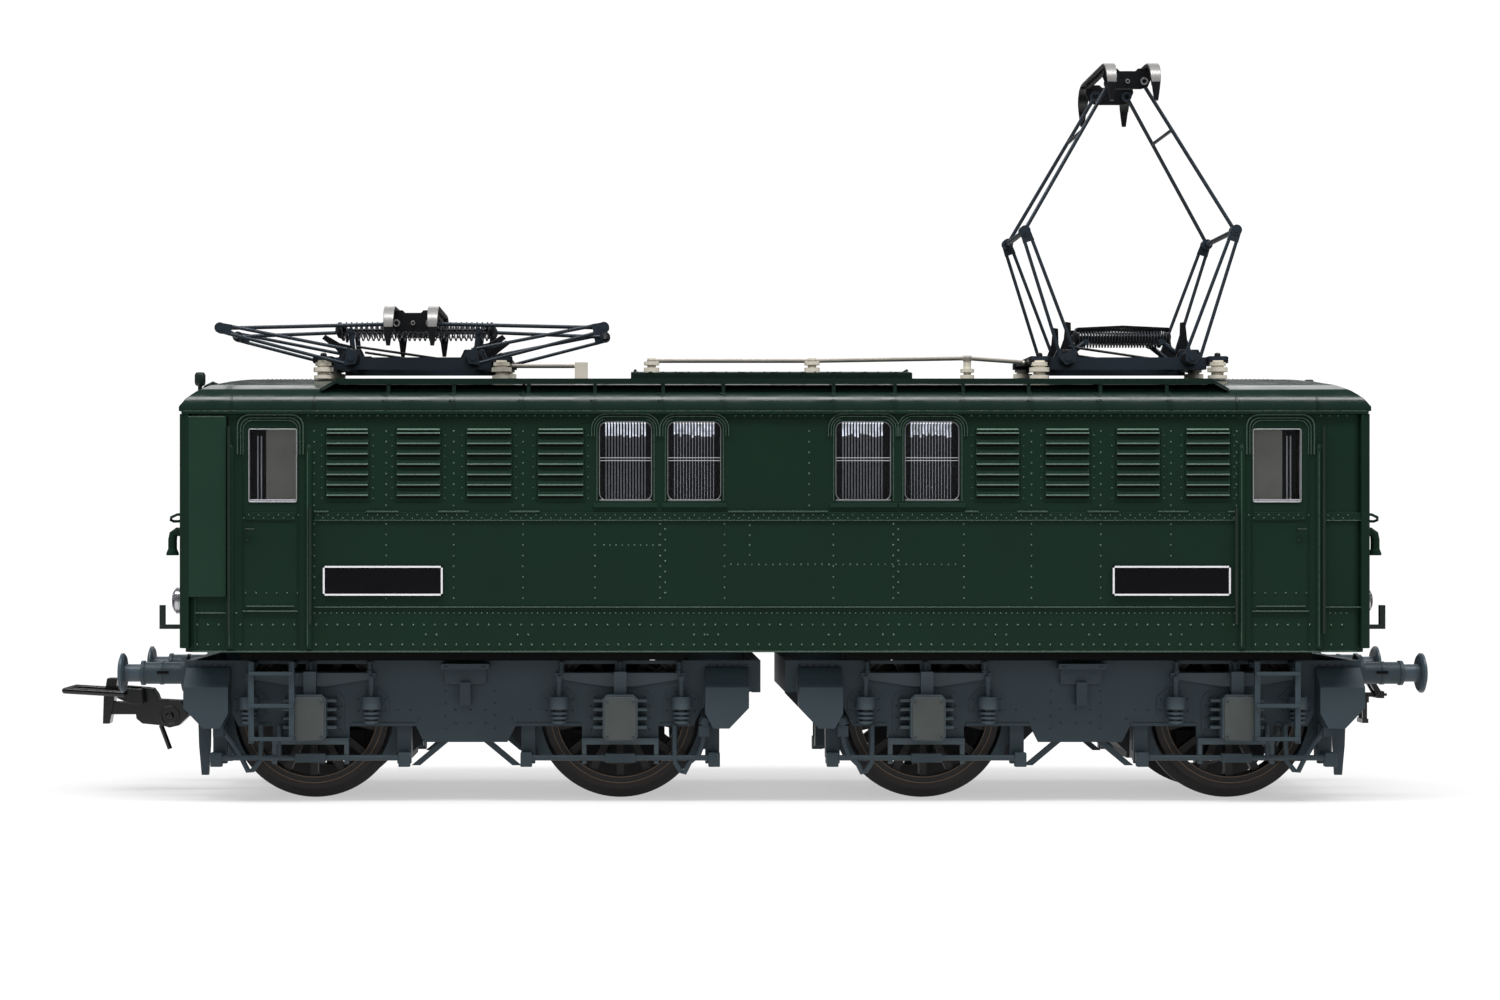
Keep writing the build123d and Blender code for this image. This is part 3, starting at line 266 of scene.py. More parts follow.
NODE_FINISH = {
    "body_shell": "body_green", "roof_shell": "roof_green", "roof_hatch": "roof_green",
    "window_glazing": "window_clear", "louvre_panels": "body_green", "nameplates": "plate_black",
    "handrails": "trim_dark", "headlights": "lamp_silver", "cab_interiors": "cab_grey",
    "chassis_frame": "chassis_zinc", "bogie_retainers": "chassis_zinc", "circuit_board": "board_green",
    "motor_can": "motor_steel", "motor_rotor": "rotor_brass", "roof_conductors": "insulator_cream",
    "coupler_shank": "coupler_black", "coupler_loop": "coupler_black", "screw_link": "coupler_black",
}
ENDING_FINISH = {
    "worm_wheel": "gear_plastic", "idler_outer": "gear_plastic", "idler_inner": "gear_plastic",
    "wheelset_outer": "wheel_dark", "wheelset_inner": "wheel_dark", "gearbox": "gearbox_dark",
    "keeper": "gearbox_dark", "frame": "bogie_grey", "axleboxes": "spring_blue",
    "brakes": "bogie_grey", "buffer_a": "buffer_grey", "buffer_b": "buffer_grey", "base": "panto_dark",
    "springs": "pan_silver", "lower_left": "panto_dark", "lower_right": "panto_dark",
    "upper_left": "panto_dark", "upper_right": "panto_dark", "head": "pan_silver",
    "cardan_1": "shaft_black", "cardan_2": "shaft_black", "worm_1": "rotor_brass",
    "worm_2": "rotor_brass",
}
BEVELS = {"body_shell": 0.03, "roof_shell": 0.05, "roof_hatch": 0.15, "frame": 0.10, "axleboxes": 0.09,
        "brakes": 0.08, "nameplates": 0.05, "coupler_shank": 0.25, "louvre_panels": 0.04}


def soften(thing, width):
    """Round the sharp edges of an object; width in millimetres."""
    bevel = thing.modifiers.new("bevel", "BEVEL")
    bevel.width = width * MM
    bevel.segments = 2
    bevel.limit_method = "ANGLE"
    bevel.angle_limit = radians(40)


def dress_cad_nodes():
    """Give every CAD node its finish, and soften the edges of the larger ones."""
    for name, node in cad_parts.items():
        ending = name.split("_", 2)[2] if name.startswith(("bogie_1", "bogie_2",
                "pantograph")) else name
        finish = NODE_FINISH.get(name) or ENDING_FINISH[ending]
        node.data.materials.clear()
        node.data.materials.append(FINISHES[finish])
        width = BEVELS.get(name) or (BEVELS.get(ending) if ending != name else None)
        if width:
            weld = node.modifiers.new("weld", "WELD")
            weld.merge_threshold = 1e-6
            soften(node, width)
            node.modifiers.new("normals", "WEIGHTED_NORMAL")


# ---------------------------------------------------------------- mesh building
class Solids:
    """Closed solids gathered into one mesh; sizes in millimetres."""

    def __init__(self):
        self.points = []
        self.faces = []

    def add(self, points, faces):
        first = len(self.points)
        self.points += [Vector(p) for p in points]
        self.faces += [[first + i for i in face] for face in faces]

    def loft(self, rings, loop=False):
        """Skin over rings of equally many points, closed at both ends unless it is a loop."""
        count = len(rings[0])
        points = [p for ring in rings for p in ring]
        faces = []
        steps = len(rings) if loop else len(rings) - 1
        for r in range(steps):
            a, b = r * count, (r + 1) % len(rings) * count
            for i in range(count):
                j = (i + 1) % count
                faces.append((a + i, a + j, b + j, b + i))
        if not loop:
            faces.append(tuple(range(count)))
            faces.append(tuple(range((len(rings) - 1) * count, len(rings) * count)))
        self.add(points, faces)

    def box(self, x0, x1, y0, y1, z0, z1):
        low = [(x0, y0, z0), (x1, y0, z0), (x1, y1, z0), (x0, y1, z0)]
        self.loft([low, [(x, y, z1) for x, y, z in low]])

    def prism(self, outline, axis, a, b):
        """Solid with a flat outline across the axis, from a to b along it."""
        def at(p, d):
            return {"x": (d, p[0], p[1]), "y": (p[0], d, p[1]), "z": (p[0], p[1], d)}[axis]
        self.loft([[at(p, a) for p in outline], [at(p, b) for p in outline]])

    def turned(self, at, axis, profile, sides=16):
        """Turned solid: profile holds pairs of radius and distance along the axis."""
        at, axis = Vector(at), Vector(axis).normalized()
        u = axis.orthogonal().normalized()
        v = axis.cross(u)
        rings = []
        for radius, along in profile:
            ring = []
            for k in range(sides):
                angle = 2 * pi * (k + 0.5) / sides
                ring.append(at + axis * along + (u * cos(angle) + v * sin(angle)) * radius)
            rings.append(ring)
        self.loft(rings)

    def rod(self, a, b, radius, sides=12):
        a, b = Vector(a), Vector(b)
        self.turned(a, b - a, [(radius, 0), (radius, (b - a).length)], sides)

    def tube(self, path, radius, sides=10, loop=False):
        """Bent rod along a path of points."""
        path = [Vector(p) for p in path]
        count = len(path)
        normal = None
        rings = []
        for i, p in enumerate(path):
            before = path[(i - 1) % count] if loop or i else p
            after = path[(i + 1) % count] if loop or i < count - 1 else p
            along = (after - before).normalized()
            if normal is None:
                normal = along.orthogonal().normalized()
            normal = (normal - along * normal.dot(along)).normalized()
            other = along.cross(normal)
            rings.append([p + (normal * cos(t) + other * sin(t)) * radius
                    for t in (2 * pi * k / sides for k in range(sides))])
        self.loft(rings, loop)

    def ring(self, at, axis, outer, inner, thick, sides=48):
        """Flat ring with a rectangular section, from at along the axis."""
        at, axis = Vector(at), Vector(axis).normalized()
        u = axis.orthogonal().normalized()
        v = axis.cross(u)
        rings = []
        for k in range(sides):
            t = 2 * pi * k / sides
            out = u * cos(t) + v * sin(t)
            rings.append([at + out * inner, at + out * outer, at + out * outer + axis * thick, at
                    + out * inner + axis * thick])
        self.loft(rings, loop=True)

    def rivet(self, at, normal=(0, -1, 0), radius=0.14, height=0.11):
        """Round rivet head, let into the surface a little."""
        self.turned(at, normal, [(radius, -0.03), (radius, 0.01), (radius * 0.8, height * 0.65),
                (radius * 0.35, height)], 6)

    def row(self, start, step, count, radius=0.14, height=0.11, normal=(0, -1, 0)):
        """Evenly spaced rivets, each one step further on."""
        for k in range(count):
            self.rivet(Vector(start) + Vector(step) * k, normal, radius, height)

    def bolt(self, at, axis, radius=0.16, head=0.13, height=0.2):
        """Bolt head with a chamfered end."""
        self.turned(at, axis, [(radius, 0), (radius, head), (0.08, height)], 8)

    def band(self, path, width, y0, y1, loop=False):
        """Flat moulding of the given width along a path of X and Z, between two Y values."""
        path = [Vector((x, 0, z)) for x, z in path]
        count = len(path)
        rings = []
        for i, p in enumerate(path):
            before = path[(i - 1) % count] if loop or i else p
            after = path[(i + 1) % count] if loop or i < count - 1 else p
            along = (after - before).normalized()
            side = Vector((-along.z, 0, along.x)) * (width / 2)
            rings.append([(p + side).xz.to_tuple() + (y0,), (p - side).xz.to_tuple() + (y0,),
                    (p - side).xz.to_tuple() + (y1,), (p + side).xz.to_tuple() + (y1,)])
        self.loft([[(x, y, z) for x, z, y in ring] for ring in rings], loop)

    def both_sides(self):
        """Repeat everything half a turn round for the far side."""
        count = len(self.points)
        self.points += [Vector((-p.x, -p.y, p.z)) for p in self.points]
        self.faces += [[count + i for i in face] for face in list(self.faces)]
        return self

    def placed(self, matrix):
        self.points = [matrix @ p for p in self.points]
        return self


def make(name, body, slot, solids, finish=None, bevel=0.0, sharp=35):
    """One object from gathered solids, riding on a CAD body."""
    mesh = bpy.data.meshes.new(name)
    mesh.from_pydata([p * MM for p in solids.points], [], solids.faces)
    bm = bmesh.new()
    bm.from_mesh(mesh)
    bmesh.ops.recalc_face_normals(bm, faces=bm.faces)
    bm.to_mesh(mesh)
    bm.free()
    mesh.polygons.foreach_set("use_smooth", [True] * len(mesh.polygons))
    mesh.set_sharp_from_angle(angle=radians(sharp))
    mesh.materials.append(FINISHES[finish or slot])
    piece = bpy.data.objects.new(name, mesh)
    bpy.context.scene.collection.objects.link(piece)
    if bevel:
        soften(piece, bevel)
    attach(piece, body)
    return piece


def on_sides(name, slot, solids, finish=None, bevel=0.0):
    """Piece of the body with its copy on the far side."""
    return make(name, "frame", slot, solids.both_sides(), finish, bevel)


def arc(cx, cz, radius, start, end, count=6):
    """Points of an arc in X and Z; angles in degrees from +X towards +Z."""
    return [(cx + radius * cos(radians(start + (end - start) * k / count)), cz
            + radius * sin(radians(start + (end - start) * k / count))) for k in range(count + 1)]


def arch(x0, x1, z_low, z_top, radius):
    """Path up one side, round two corners and down the other side."""
    return ([(x0, z_low)] + arc(x0 + radius, z_top - radius, radius, 180, 90)
            + arc(x1 - radius, z_top - radius, radius, 90, 0) + [(x1, z_low)])


def rounded(x0, x1, z0, z1, radius):
    """Closed rounded rectangle."""
    return (arc(x0 + radius, z1 - radius, radius, 180, 90)
            + arc(x1 - radius, z1 - radius, radius, 90, 0)
            + arc(x1 - radius, z0 + radius, radius, 0, -90)
            + arc(x0 + radius, z0 + radius, radius, -90, -180))


# ---------------------------------------------------------------- body sides
def clear_of(x, spans, margin=0.0):
    return all(not a - margin < x < b + margin for a, b in spans)


def body_rivets():
    """Rivet rows along both sides, in a lighter green that paints a highlight on each rivet."""
    s = Solids()
    y = WALL_Y
    pitch = 1.2
    pillars = [(p - 0.5, p + 0.5) for p in PILLARS]
    count = int((2 * HALF_L - 3) / pitch)
    for k in range(count + 1):
        x = -HALF_L + 1.5 + k * pitch
        if clear_of(x, pillars):
            s.rivet((x, y, 19.95))
            s.rivet((x, y, 17.75))
    for k in range(int((2 * HALF_L - 3) / 0.62)):
        x = -HALF_L + 1.5 + k * 0.62
        if clear_of(x, pillars) and clear_of(x, DOORS):
            s.rivet((x, y - 0.02, 21.25), radius=0.10, height=0.06)
    pairs = [-38.8, -28.6, -9.0, -7.5, 6.0, 12.0, 24.5, 34.9, 44.0]
    for x in pairs:
        s.rivet((x, y, 18.85))
        s.rivet((x + 1.2, y, 18.85))
    # belt strip, gutter strip
    for k in range(int(2 * HALF_L / 0.55) - 4):
        x = -HALF_L + 1.2 + k * 0.55
        if clear_of(x, pillars, 0.1) and clear_of(x, [(-HALF_L, -60.8), (-59.7, -59.2), (59.3, 60)]):
            s.rivet((x, y - 0.12, 32.15 if k % 2 else 31.8), radius=0.09, height=0.06)
    for k in range(int(2 * HALF_L / 0.97) - 2):
        x = -HALF_L + 1.2 + k * 0.97
        if clear_of(x, WINDOWS, 0.7) and clear_of(x, DOORS, 0.2) and x > -60.6:
            s.rivet((x, y - 0.1, 43.2), radius=0.11, height=0.07)
    # upright rows at the panel joints
    for x in JOINTS_X[1:-1]:
        double = abs(abs(x) - 13) < 1
        for z0, z1 in ((22.9, 31.2), (33.2, 41.6)):
            if z0 > 30 and not clear_of(x, WINDOWS, 1.2):
                continue
            for k in range(int((z1 - z0) / 1.18) + 1):
                z = z0 + k * 1.18
                if double:
                    s.rivet((x - 0.25, y, z))
                    s.rivet((x + 0.3, y, z + 0.59))
                else:
                    s.rivet((x, y, z), radius=0.12, height=0.07)
    s.row((-2.8, y, 31.0), (0, 0, -1.1), 4, 0.12, 0.07)
    s.row((3.8, y, 33.2), (0, 0, 1.18), 8, 0.12, 0.07)
    s.row((-19.0, y, 28.8), (0.68, 0, 0), 10, 0.11, 0.06)
    s.row((-4.9, y, 26.65), (0.78, 0, 0), 33, 0.11, 0.06)
    # round the louvres and on the doors
    for x0, x1 in LOUVRES:
        for x in (x0 - 0.35, x1 + 0.35):
            s.row((x, y - 0.04, LOUVRE_Z[0] + 0.5), (0, 0, 1.17), 7, 0.08, 0.05)
    for x0, x1 in DOORS:
        s.row((x0 + 0.9, y - 0.08, 23.5), (1.15, 0, 0), 6, 0.10, 0.05)
    return on_sides("body_rivets", "body_green", s, "rivet_highlight_green")


def body_mouldings():
    """Belt, rail, window arches, door frames, pillars and end panels; their raised edges are drawn in a
    lighter green as painted highlights.
    """
    # edges holds the moulding edges drawn in the lighter green of painted highlight
    s, edges, slabs, shadow_line = Solids(), Solids(), Solids(), Solids()
    y = WALL_Y
    back = y + 0.05                     # how far the mouldings are let into the wall
    for x0, x1 in ((-51.2, 51.3), (61.0, HALF_L - 0.6)):
        s.box(x0, x1, y - 0.12, back, *BELT_Z)
        edges.box(x0, x1, y - 0.20, back, RAIL_Z - 0.04, RAIL_Z + 0.08)
        edges.box(x0, x1, y - 0.15, back, BELT_Z[0] - 0.03, BELT_Z[0] + 0.05)
    s.box(-51.2, 51.3, y - 0.1, back, 42.75, 42.88)
    edges.box(-HALF_L, HALF_L, y - 0.4, y - 0.25, 43.62, 43.74)
    # black line at the right edge of the end panel: painted shadow
    shadow_line.box(-60.9, -60.7, y - 0.06, back, 23.0, 43.0)
    edges.box(-HALF_L + 1, HALF_L - 1, y - 0.1, back, FLOOR_Z, FLOOR_Z + 0.16)
    # ledge above the belt, broken under the louvres and windows
    ends = sorted([v for pair in LOUVRES for v in (pair[0] + 0.4, pair[1] - 0.4)])
    ledges = [(-51.2, ends[0]), (ends[1], ends[2]), (ends[3], ends[4]), (ends[5], ends[6]), (-5.2, 5.9),
            (21.1, ends[8]), (ends[9], ends[10]), (ends[11], ends[12]), (ends[13], ends[14]),
            (ends[15], 51.3)]
    for x0, x1 in ledges:
        edges.box(x0, x1, y - 0.22, back, 32.46, 32.62)
    # windows: three stepped arches and a sill
    for x0, x1 in WINDOWS:
        for offset, proud, wide in ((0.18, 0.10, 0.10), (0.46, 0.18, 0.10), (0.76, 0.26, 0.10)):
            low = 40.9 if offset > 0.3 else WINDOW_Z[0]
            edges.band(arch(x0 - offset, x1 + offset, low, min(WINDOW_Z[1] + offset + 0.05, 43.4), 0.9
                    + offset), wide, y - proud, back)
        s.prism([(y - 0.22, 33.0), (back, 32.9), (back, 33.5), (y - 0.1, 33.5)], "x", x0 - 0.6, x1
                + 0.6)
    # doors
    for x0, x1 in DOORS:
        for offset, proud, wide in ((0.0, 0.24, 0.14), (0.35, 0.18, 0.10), (0.62, 0.12, 0.08)):
            edges.band(arch(x0 + offset, x1 - offset, 38.9, 43.3 - offset, 1.3 - offset * 0.4), wide,
                    y - proud, back)
        for x in (x0 + 0.62, x1 - 0.62):
            s.band([(x, 17.4), (x, 40.0)], 0.10, y - 0.10, back)
        s.box(x0 + 0.9, x1 - 0.9, y - 0.1, back, *BELT_Z)
        edges.box(x0 + 1.0, x1 - 1.0, y - 0.18, back, 21.95, 22.08)
        edges.box(x0 + 0.6, x1 - 0.6, y - 0.24, back, 21.4, 21.54)
    # pillars beside the doors, rounded at the top
    for x in PILLARS:
        s.turned((x, back, 17.3), UP, [(0.42, 0), (0.42, 22.0), (0.32, 22.5), (0.12, 22.7)], 16)
        edges.turned((x - 0.1, y - 0.32, 17.6), UP, [(0.06, 0), (0.06, 21.6)], 6)
    # plain panel at the left end, with the dark rail pocket below it
    slabs.prism(rounded(-HALF_L + 0.35, -60.95, 23.05, 43.15, 0.15), "y", y - 0.3, back)
    edges.box(-HALF_L + 0.5, -61.1, y - 0.33, y, 43.0, 43.14)
    edges.box(-HALF_L + 1.3, -61.1, y - 0.18, back, 21.2, 21.36)
    for x in (-HALF_L + 1.2, -61.05):
        s.box(x, x + 0.25, y - 0.14, back, 17.2, 23.0)
    on_sides("body_mouldings", "body_green", s, bevel=0.03)
    on_sides("body_edge_highlights", "body_green", edges, "highlight_green", bevel=0.02)
    on_sides("end_slabs", "body_green", slabs, "slab_green", bevel=0.05)
    on_sides("slab_shadow_line", "body_green", shadow_line, "painted_shadow_black")


def louvres():
    """Pressed louvres: seven lips on each panel, each with a light strip of painted highlight along it
    and a black slit of painted shadow under it.
    """
    s, lips, slit_shadows = Solids(), Solids(), Solids()
    y = WALL_Y
    for x0, x1 in LOUVRES:
        s.box(x0 - 0.05, x1 + 0.05, y + 0.06, y + 0.9, LOUVRE_Z[0] - 0.05, LOUVRE_Z[1] + 0.05)
        for k in range(7):
            z = 34.25 + k * 1.15
            s.prism([(y + 0.1, z + 0.75), (y - 0.22, z + 0.16), (y - 0.22, z), (y + 0.1, z + 0.02)],
                    "x", x0 + 0.15, x1 - 0.15)
            # light strip along each lip: painted highlight; black slit under it: painted shadow
            lips.box(x0 + 0.2, x1 - 0.2, y - 0.27, y - 0.15, z + 0.03, z + 0.17)
            slit_shadows.box(x0 + 0.25, x1 - 0.25, y + 0.02, y + 0.1, z - 0.24, z)
        lips.prism([(y - 0.28, LOUVRE_Z[1] - 0.1), (y + 0.05, LOUVRE_Z[1] - 0.12),
                (y + 0.05, LOUVRE_Z[1] + 0.1)], "x", x0 + 0.25, x1 - 0.25)
    panel = on_sides("louvre_pressings", "body_green", s, bevel=0.03)
    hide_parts("louvre_panels")
    on_sides("louvre_lip_highlights", "body_green", lips, "louvre_highlight", bevel=0.02)
    on_sides("louvre_slit_shadows", "body_green", slit_shadows, "painted_shadow_black")


def nameplate_edges():
    """White edge round each blank plate."""
    s = Solids()
    low, high = span("nameplates")
    z0, z1 = low.z, high.z
    for x0, x1 in PLATES_X:
        y = low.y
        for x in (x0, x1 - 0.2):
            s.box(x, x + 0.2, y - 0.06, y + 0.02, z0, z1)
        for z in (z0, z1 - 0.2):
            s.box(x0, x1, y - 0.06, y + 0.02, z, z + 0.2)
    return on_sides("nameplate_edges", "plate_black", s, "plate_white")


def windows():
    """Frames, grilles behind the panes and the cab side panes, with dark backs of painted shade and
    glowing strips, bars and blinds of painted light.
    """
    frames, bars, backs, shades, glows, doors = (Solids() for _ in range(6))
    y = WALL_Y
    for x0, x1 in WINDOWS:
        frames.band(rounded(x0 + 0.1, x1 - 0.1, WINDOW_Z[0] + 0.1, WINDOW_Z[1] - 0.1, 0.8), 0.1, y
                + 0.35, y + 0.75, loop=True)
        frames.box(x0 + 0.1, x1 - 0.1, y + 0.2, y + 0.7, WINDOW_Z[0] + 0.02, WINDOW_Z[0] + 0.2)
        # grille bars, glowing: painted light
        for z in (38.18, 38.5):
            bars.box(x0 + 0.15, x1 - 0.15, y + 0.5, y + 0.72, z, z + 0.06)
        middle = (x0 + x1) / 2
        for k in range(14):
            x = middle + (k - 6.5) * 0.335
            bars.box(x - 0.045, x + 0.045, y + 1.75, y + 1.9, 33.6, 41.2)
            # glowing strips above the bars: painted light seen through the far windows
            glows.box(x - 0.07, x + 0.07, y + 1.7, y + 1.9, 40.8 + 0.45 * random.random(), 42.9)
            glows.box(x - 0.11, x + 0.05, y + 0.6, y + 0.8, 42.3, 42.45)
        bars.box(middle - 2.6, middle + 2.6, y + 1.8, y + 1.95, 33.5, 33.75)
        # dark back behind the grille: painted shade of the inside, faintly glowing
        backs.box(x0 - 0.4, x1 + 0.4, y + 2.2, y + 2.5, 33.0, 43.0)
    for x0, x1 in DOOR_WINDOWS:
        inner = 1 if x0 < 0 else -1
        doors.band(rounded(x0 + 0.05, x1 - 0.05, DOOR_WINDOW_Z[0], DOOR_WINDOW_Z[1], 0.2), 0.10,
                y - 0.12, y + 0.6, loop=True)
        doors.box(x0 + 0.1, x1 - 0.1, y - 0.05, y + 0.7, DOOR_WINDOW_Z[0], DOOR_WINDOW_Z[0] + 0.3)
        split = (x0 + x1) / 2 - inner * 0.9
        edge = x1 if inner > 0 else x0
        # grey blind, glowing: painted light; dark back behind it: painted shade
        shades.box(min(split, edge), max(split, edge), y + 1.75, y + 2.0, 33.2, 42.6)
        backs.box(x0 - 0.4, x1 + 0.4, y + 3.3, y + 3.6, 33.0, 42.8)
        for shift in (0.55, 0.95):
            x = split - inner * shift
            bars.box(x - 0.06, x + 0.06, y + 1.8, y + 1.95, 33.6, 41.0)
    on_sides("window_frames", "lamp_silver", frames, "window_frame", bevel=0.02)
    on_sides("door_window_frames", "lamp_silver", doors, "door_frame", bevel=0.03)
    on_sides("window_grilles", "lamp_silver", bars, "grille_grey_painted_light")
    on_sides("window_backs", "cab_grey", backs, "interior_painted_shade")
    on_sides("window_shades", "cab_grey", shades, "blind_grey_painted_light")
    on_sides("window_lights", "cab_grey", glows, "window_painted_light")


def body_fittings():
    """Door handles, end windows, horns, hooks, corner posts, lamp rims and glasses."""
    s = Solids()
    y = WALL_Y
    for x0, x1 in DOORS:
        x = x0 + 0.9 if x0 < 0 else x1 - 1.9
        s.tube([(x, y, 30.55), (x, y - 0.35, 30.6), (x + 1.0, y - 0.4, 30.6)], 0.1)
        s.turned((x + 0.2, y, 29.4), (0, -1, 0), [(0.16, 0), (0.16, 0.12)], 10)
    on_sides("door_handles", "trim_dark", s)
    ends = Solids()
    x = -HALF_L
    for side in (-1, 1):
        # belt and window frame of the end
        ends.prism([(x, 31.5), (x - 0.55, 31.6), (x - 0.55, 31.95), (x, 32.1)], "y", side * 0.2,
                side * 15.2)
        lo, hi = sorted((side * 5.6, side * 12.4))
        for y0, y1, z0, z1 in ((lo - 0.35, hi + 0.35, 41.5, 41.9), (lo - 0.35, hi + 0.35, 33.4, 33.8),
                (lo - 0.35, lo, 33.4, 41.9), (hi, hi + 0.35, 33.4, 41.9)):
            ends.box(x - 0.25, x + 0.05, y0, y1, z0, z1)
        for k in range(12):
            for z in (19.95, 17.75, 43.0):
                ends.rivet((x, side * (1.0 + k * 1.25), z), (-1, 0, 0))
        # horn beside the window, below the belt
        ends.tube([(x, side * 14.6, 30.2), (x - 1.1, side * 14.6, 30.3), (x - 1.5, side * 14.6, 30.0),
                (x - 1.6, side * 14.6, 29.4), (x - 1.6, side * 14.6, 28.2)], 0.5, 14)
        ends.turned((x - 1.6, side * 14.6, 28.4), (0, 0, -1), [(0.5, 0), (0.7, 0.5), (0.7, 0.75)], 14)
        # hand hook above it
        hook = [(x + 0.6, side * 15.9, 32.3), (x - 0.9, side * 15.9, 32.2),
                (x - 1.6, side * 15.6, 31.9), (x - 1.7, side * 15.2, 31.6),
                (x - 1.4, side * 14.9, 31.45), (x - 0.1, side * 14.8, 31.5)]
        ends.tube(hook, 0.16)
    for side in (-1, 1):
        corner = [(x + 0.6, side * 17.34), (x + 0.1, side * 17.3), (x - 0.3, side * 17.05),
                (x - 0.5, side * 16.6), (x - 0.5, side * 15.9), (x - 0.3, side * 15.3),
                (x, side * 15.0), (x + 0.6, side * 15.0)]
        ends.prism(corner, "z", 17.35, 43.4)
    ends.box(x - 0.12, x + 0.05, -2.2, 2.2, 18.0, 31.5)
    on_sides("end_fittings", "body_green", ends, bevel=0.03)
    glass, lamps = Solids(), Solids()
    low, high = span("headlights")
    lamp_z = (low.z + high.z) / 2
    for side in (-1, 1):
        lamps.turned((low.x + 0.4, side * 10.5, lamp_z), (-1, 0, 0),
                [(1.35, 0), (1.35, 0.3), (1.5, 0.4), (1.5, 0.9), (1.3, 1.0)], 28)
        glass.turned((low.x - 0.55, side * 10.5, lamp_z), (-1, 0, 0),
                [(1.25, 0), (1.25, 0.12), (0.9, 0.32), (0.3, 0.42)], 24)
    on_sides("headlight_rims", "lamp_silver", lamps, bevel=0.05)
    on_sides("headlight_glasses", "window_clear", glass)


# ---------------------------------------------------------------- roof
def roof_profile(offset):
    """Roof section from one gutter to the other, moved out by an offset."""
    half = ROOF_HALF + [(10.0, 47.35), (5.0, 47.85), (0.0, 48.0)]
    full = [(-y, z) for y, z in half] + [(y, z) for y, z in reversed(half[:-1])]
    points = []
    for i, (y, z) in enumerate(full):
        before, after = full[max(i - 1, 0)], full[min(i + 1, len(full) - 1)]
        along = Vector((after[0] - before[0], after[1] - before[1])).normalized()
        points.append((y - along.y * offset, z + along.x * offset))
    return points


def roof_details():
    """Seams across the roof, cove rivets, whistle, brackets and the catwalk's edges."""
    s = Solids()
    outer, inner = roof_profile(0.1), roof_profile(-0.15)
    for x in JOINTS_X:
        if abs(x) > 50:
            continue
        s.loft([[(x - 0.16, a[0], a[1]), (x + 0.16, a[0], a[1]), (x + 0.16, b[0], b[1]),
                (x - 0.16, b[0], b[1])] for a, b in zip(outer, inner)])
        for side in (-1, 1):
            for dy, dz in ((17.05, 44.9), (16.45, 45.65)):
                s.rivet((x - 0.4, side * dy, dz), (0, side * 0.8, 0.6), 0.12, 0.08)
    for x in (-60.4, -51.2, 51.3, 60.3):
        for side in (-1, 1):
            lift = [(17.35, 43.8), (17.38, 44.2), (17.08, 44.95), (16.5, 45.62)]
            s.tube([(x, side * a, b - 0.03) for a, b in lift], 0.1, 8)
    # edge strip and lip of the catwalks
    for side in (-1, 1):
        y = side * 16.3
        s.box(-48.7, 48.7, y - 0.09, y + 0.09, 46.75, 47.36)
        for x in (-48.4, -36.0, -24.0, -12.0, 0.0, 12.0, 24.0, 36.0, 48.4):
            s.box(x - 0.1, x + 0.1, side * 13.2, side * 16.3, 47.3, 47.36)
        for k in range(30):
            x = 64.9 - k * 0.5
            for at in (-x, x):
                s.rivet((at, side * 0.4, roof_ridge(x)), UP, 0.14, 0.16)
    make("roof_seams", "frame", "roof_green", s, "roof_green")
    w = Solids()
    w.turned((-65.2, -8.0, 45.0), UP, [(0.45, 0), (0.45, 0.5), (0.25, 0.7), (0.25, 1.9), (0.5, 2.0),
            (0.62, 2.3), (0.62, 3.2), (0.45, 3.5)], 14)
    w.tube([(-65.1, -8.0, 46.2), (-64.5, -8.0, 46.9), (-63.7, -8.0, 47.3), (-63.2, -8.0, 47.1),
            (-63.1, -8.0, 46.3)], 0.2)
    w.tube([(-61.7, -8.5, 46.3), (-61.5, -8.5, 47.1), (-60.9, -8.5, 47.2), (-60.4, -8.5, 46.8)], 0.3)
    on_sides("roof_whistle", "trim_dark", w, bevel=0.05)
    h = Solids()
    low, high = span("roof_hatch")
    for side in (-1, 1):
        h.row((low.x + 0.8, side * 6.9, high.z - 0.33), (1.45, 0, 0), 22, 0.18, 0.2, UP)
        for k in range(9):
            h.box(low.x + 2.0 + k * 3.5, low.x + 2.5 + k * 3.5, side * 7.5, side * 7.85, 47.6,
                    high.z - 0.25)
    for x in (low.x + 0.5, high.x - 0.5):
        h.row((x, -6.0, high.z - 0.05), (0, 1.5, 0), 9, 0.2, 0.22, UP)
    make("hatch_bolts", "frame", "roof_green", h)


def roof_ridge(x):
    """Height of the roof on the centre line."""
    line = [(0, 48.0), (58.7, 48.0), (60.5, 47.7), (63.0, 46.8), (64.4, 46.0), (65.5, 45.1),
            (66.2, 44.2)]
    for (x0, z0), (x1, z1) in zip(line, line[1:]):
        if abs(x) <= x1:
            return z0 + (z1 - z0) * (abs(x) - x0) / (x1 - x0)
    return 44.0


# ---------------------------------------------------------------- bogies
def bogie_matrix(s):
    """From bogie coordinates, outer end towards -X, to the frame."""
    turn = Matrix.Rotation(pi if s > 0 else 0, 4, "Z")
    return Matrix.Translation((s * PIVOT_X, 0, 0)) @ turn


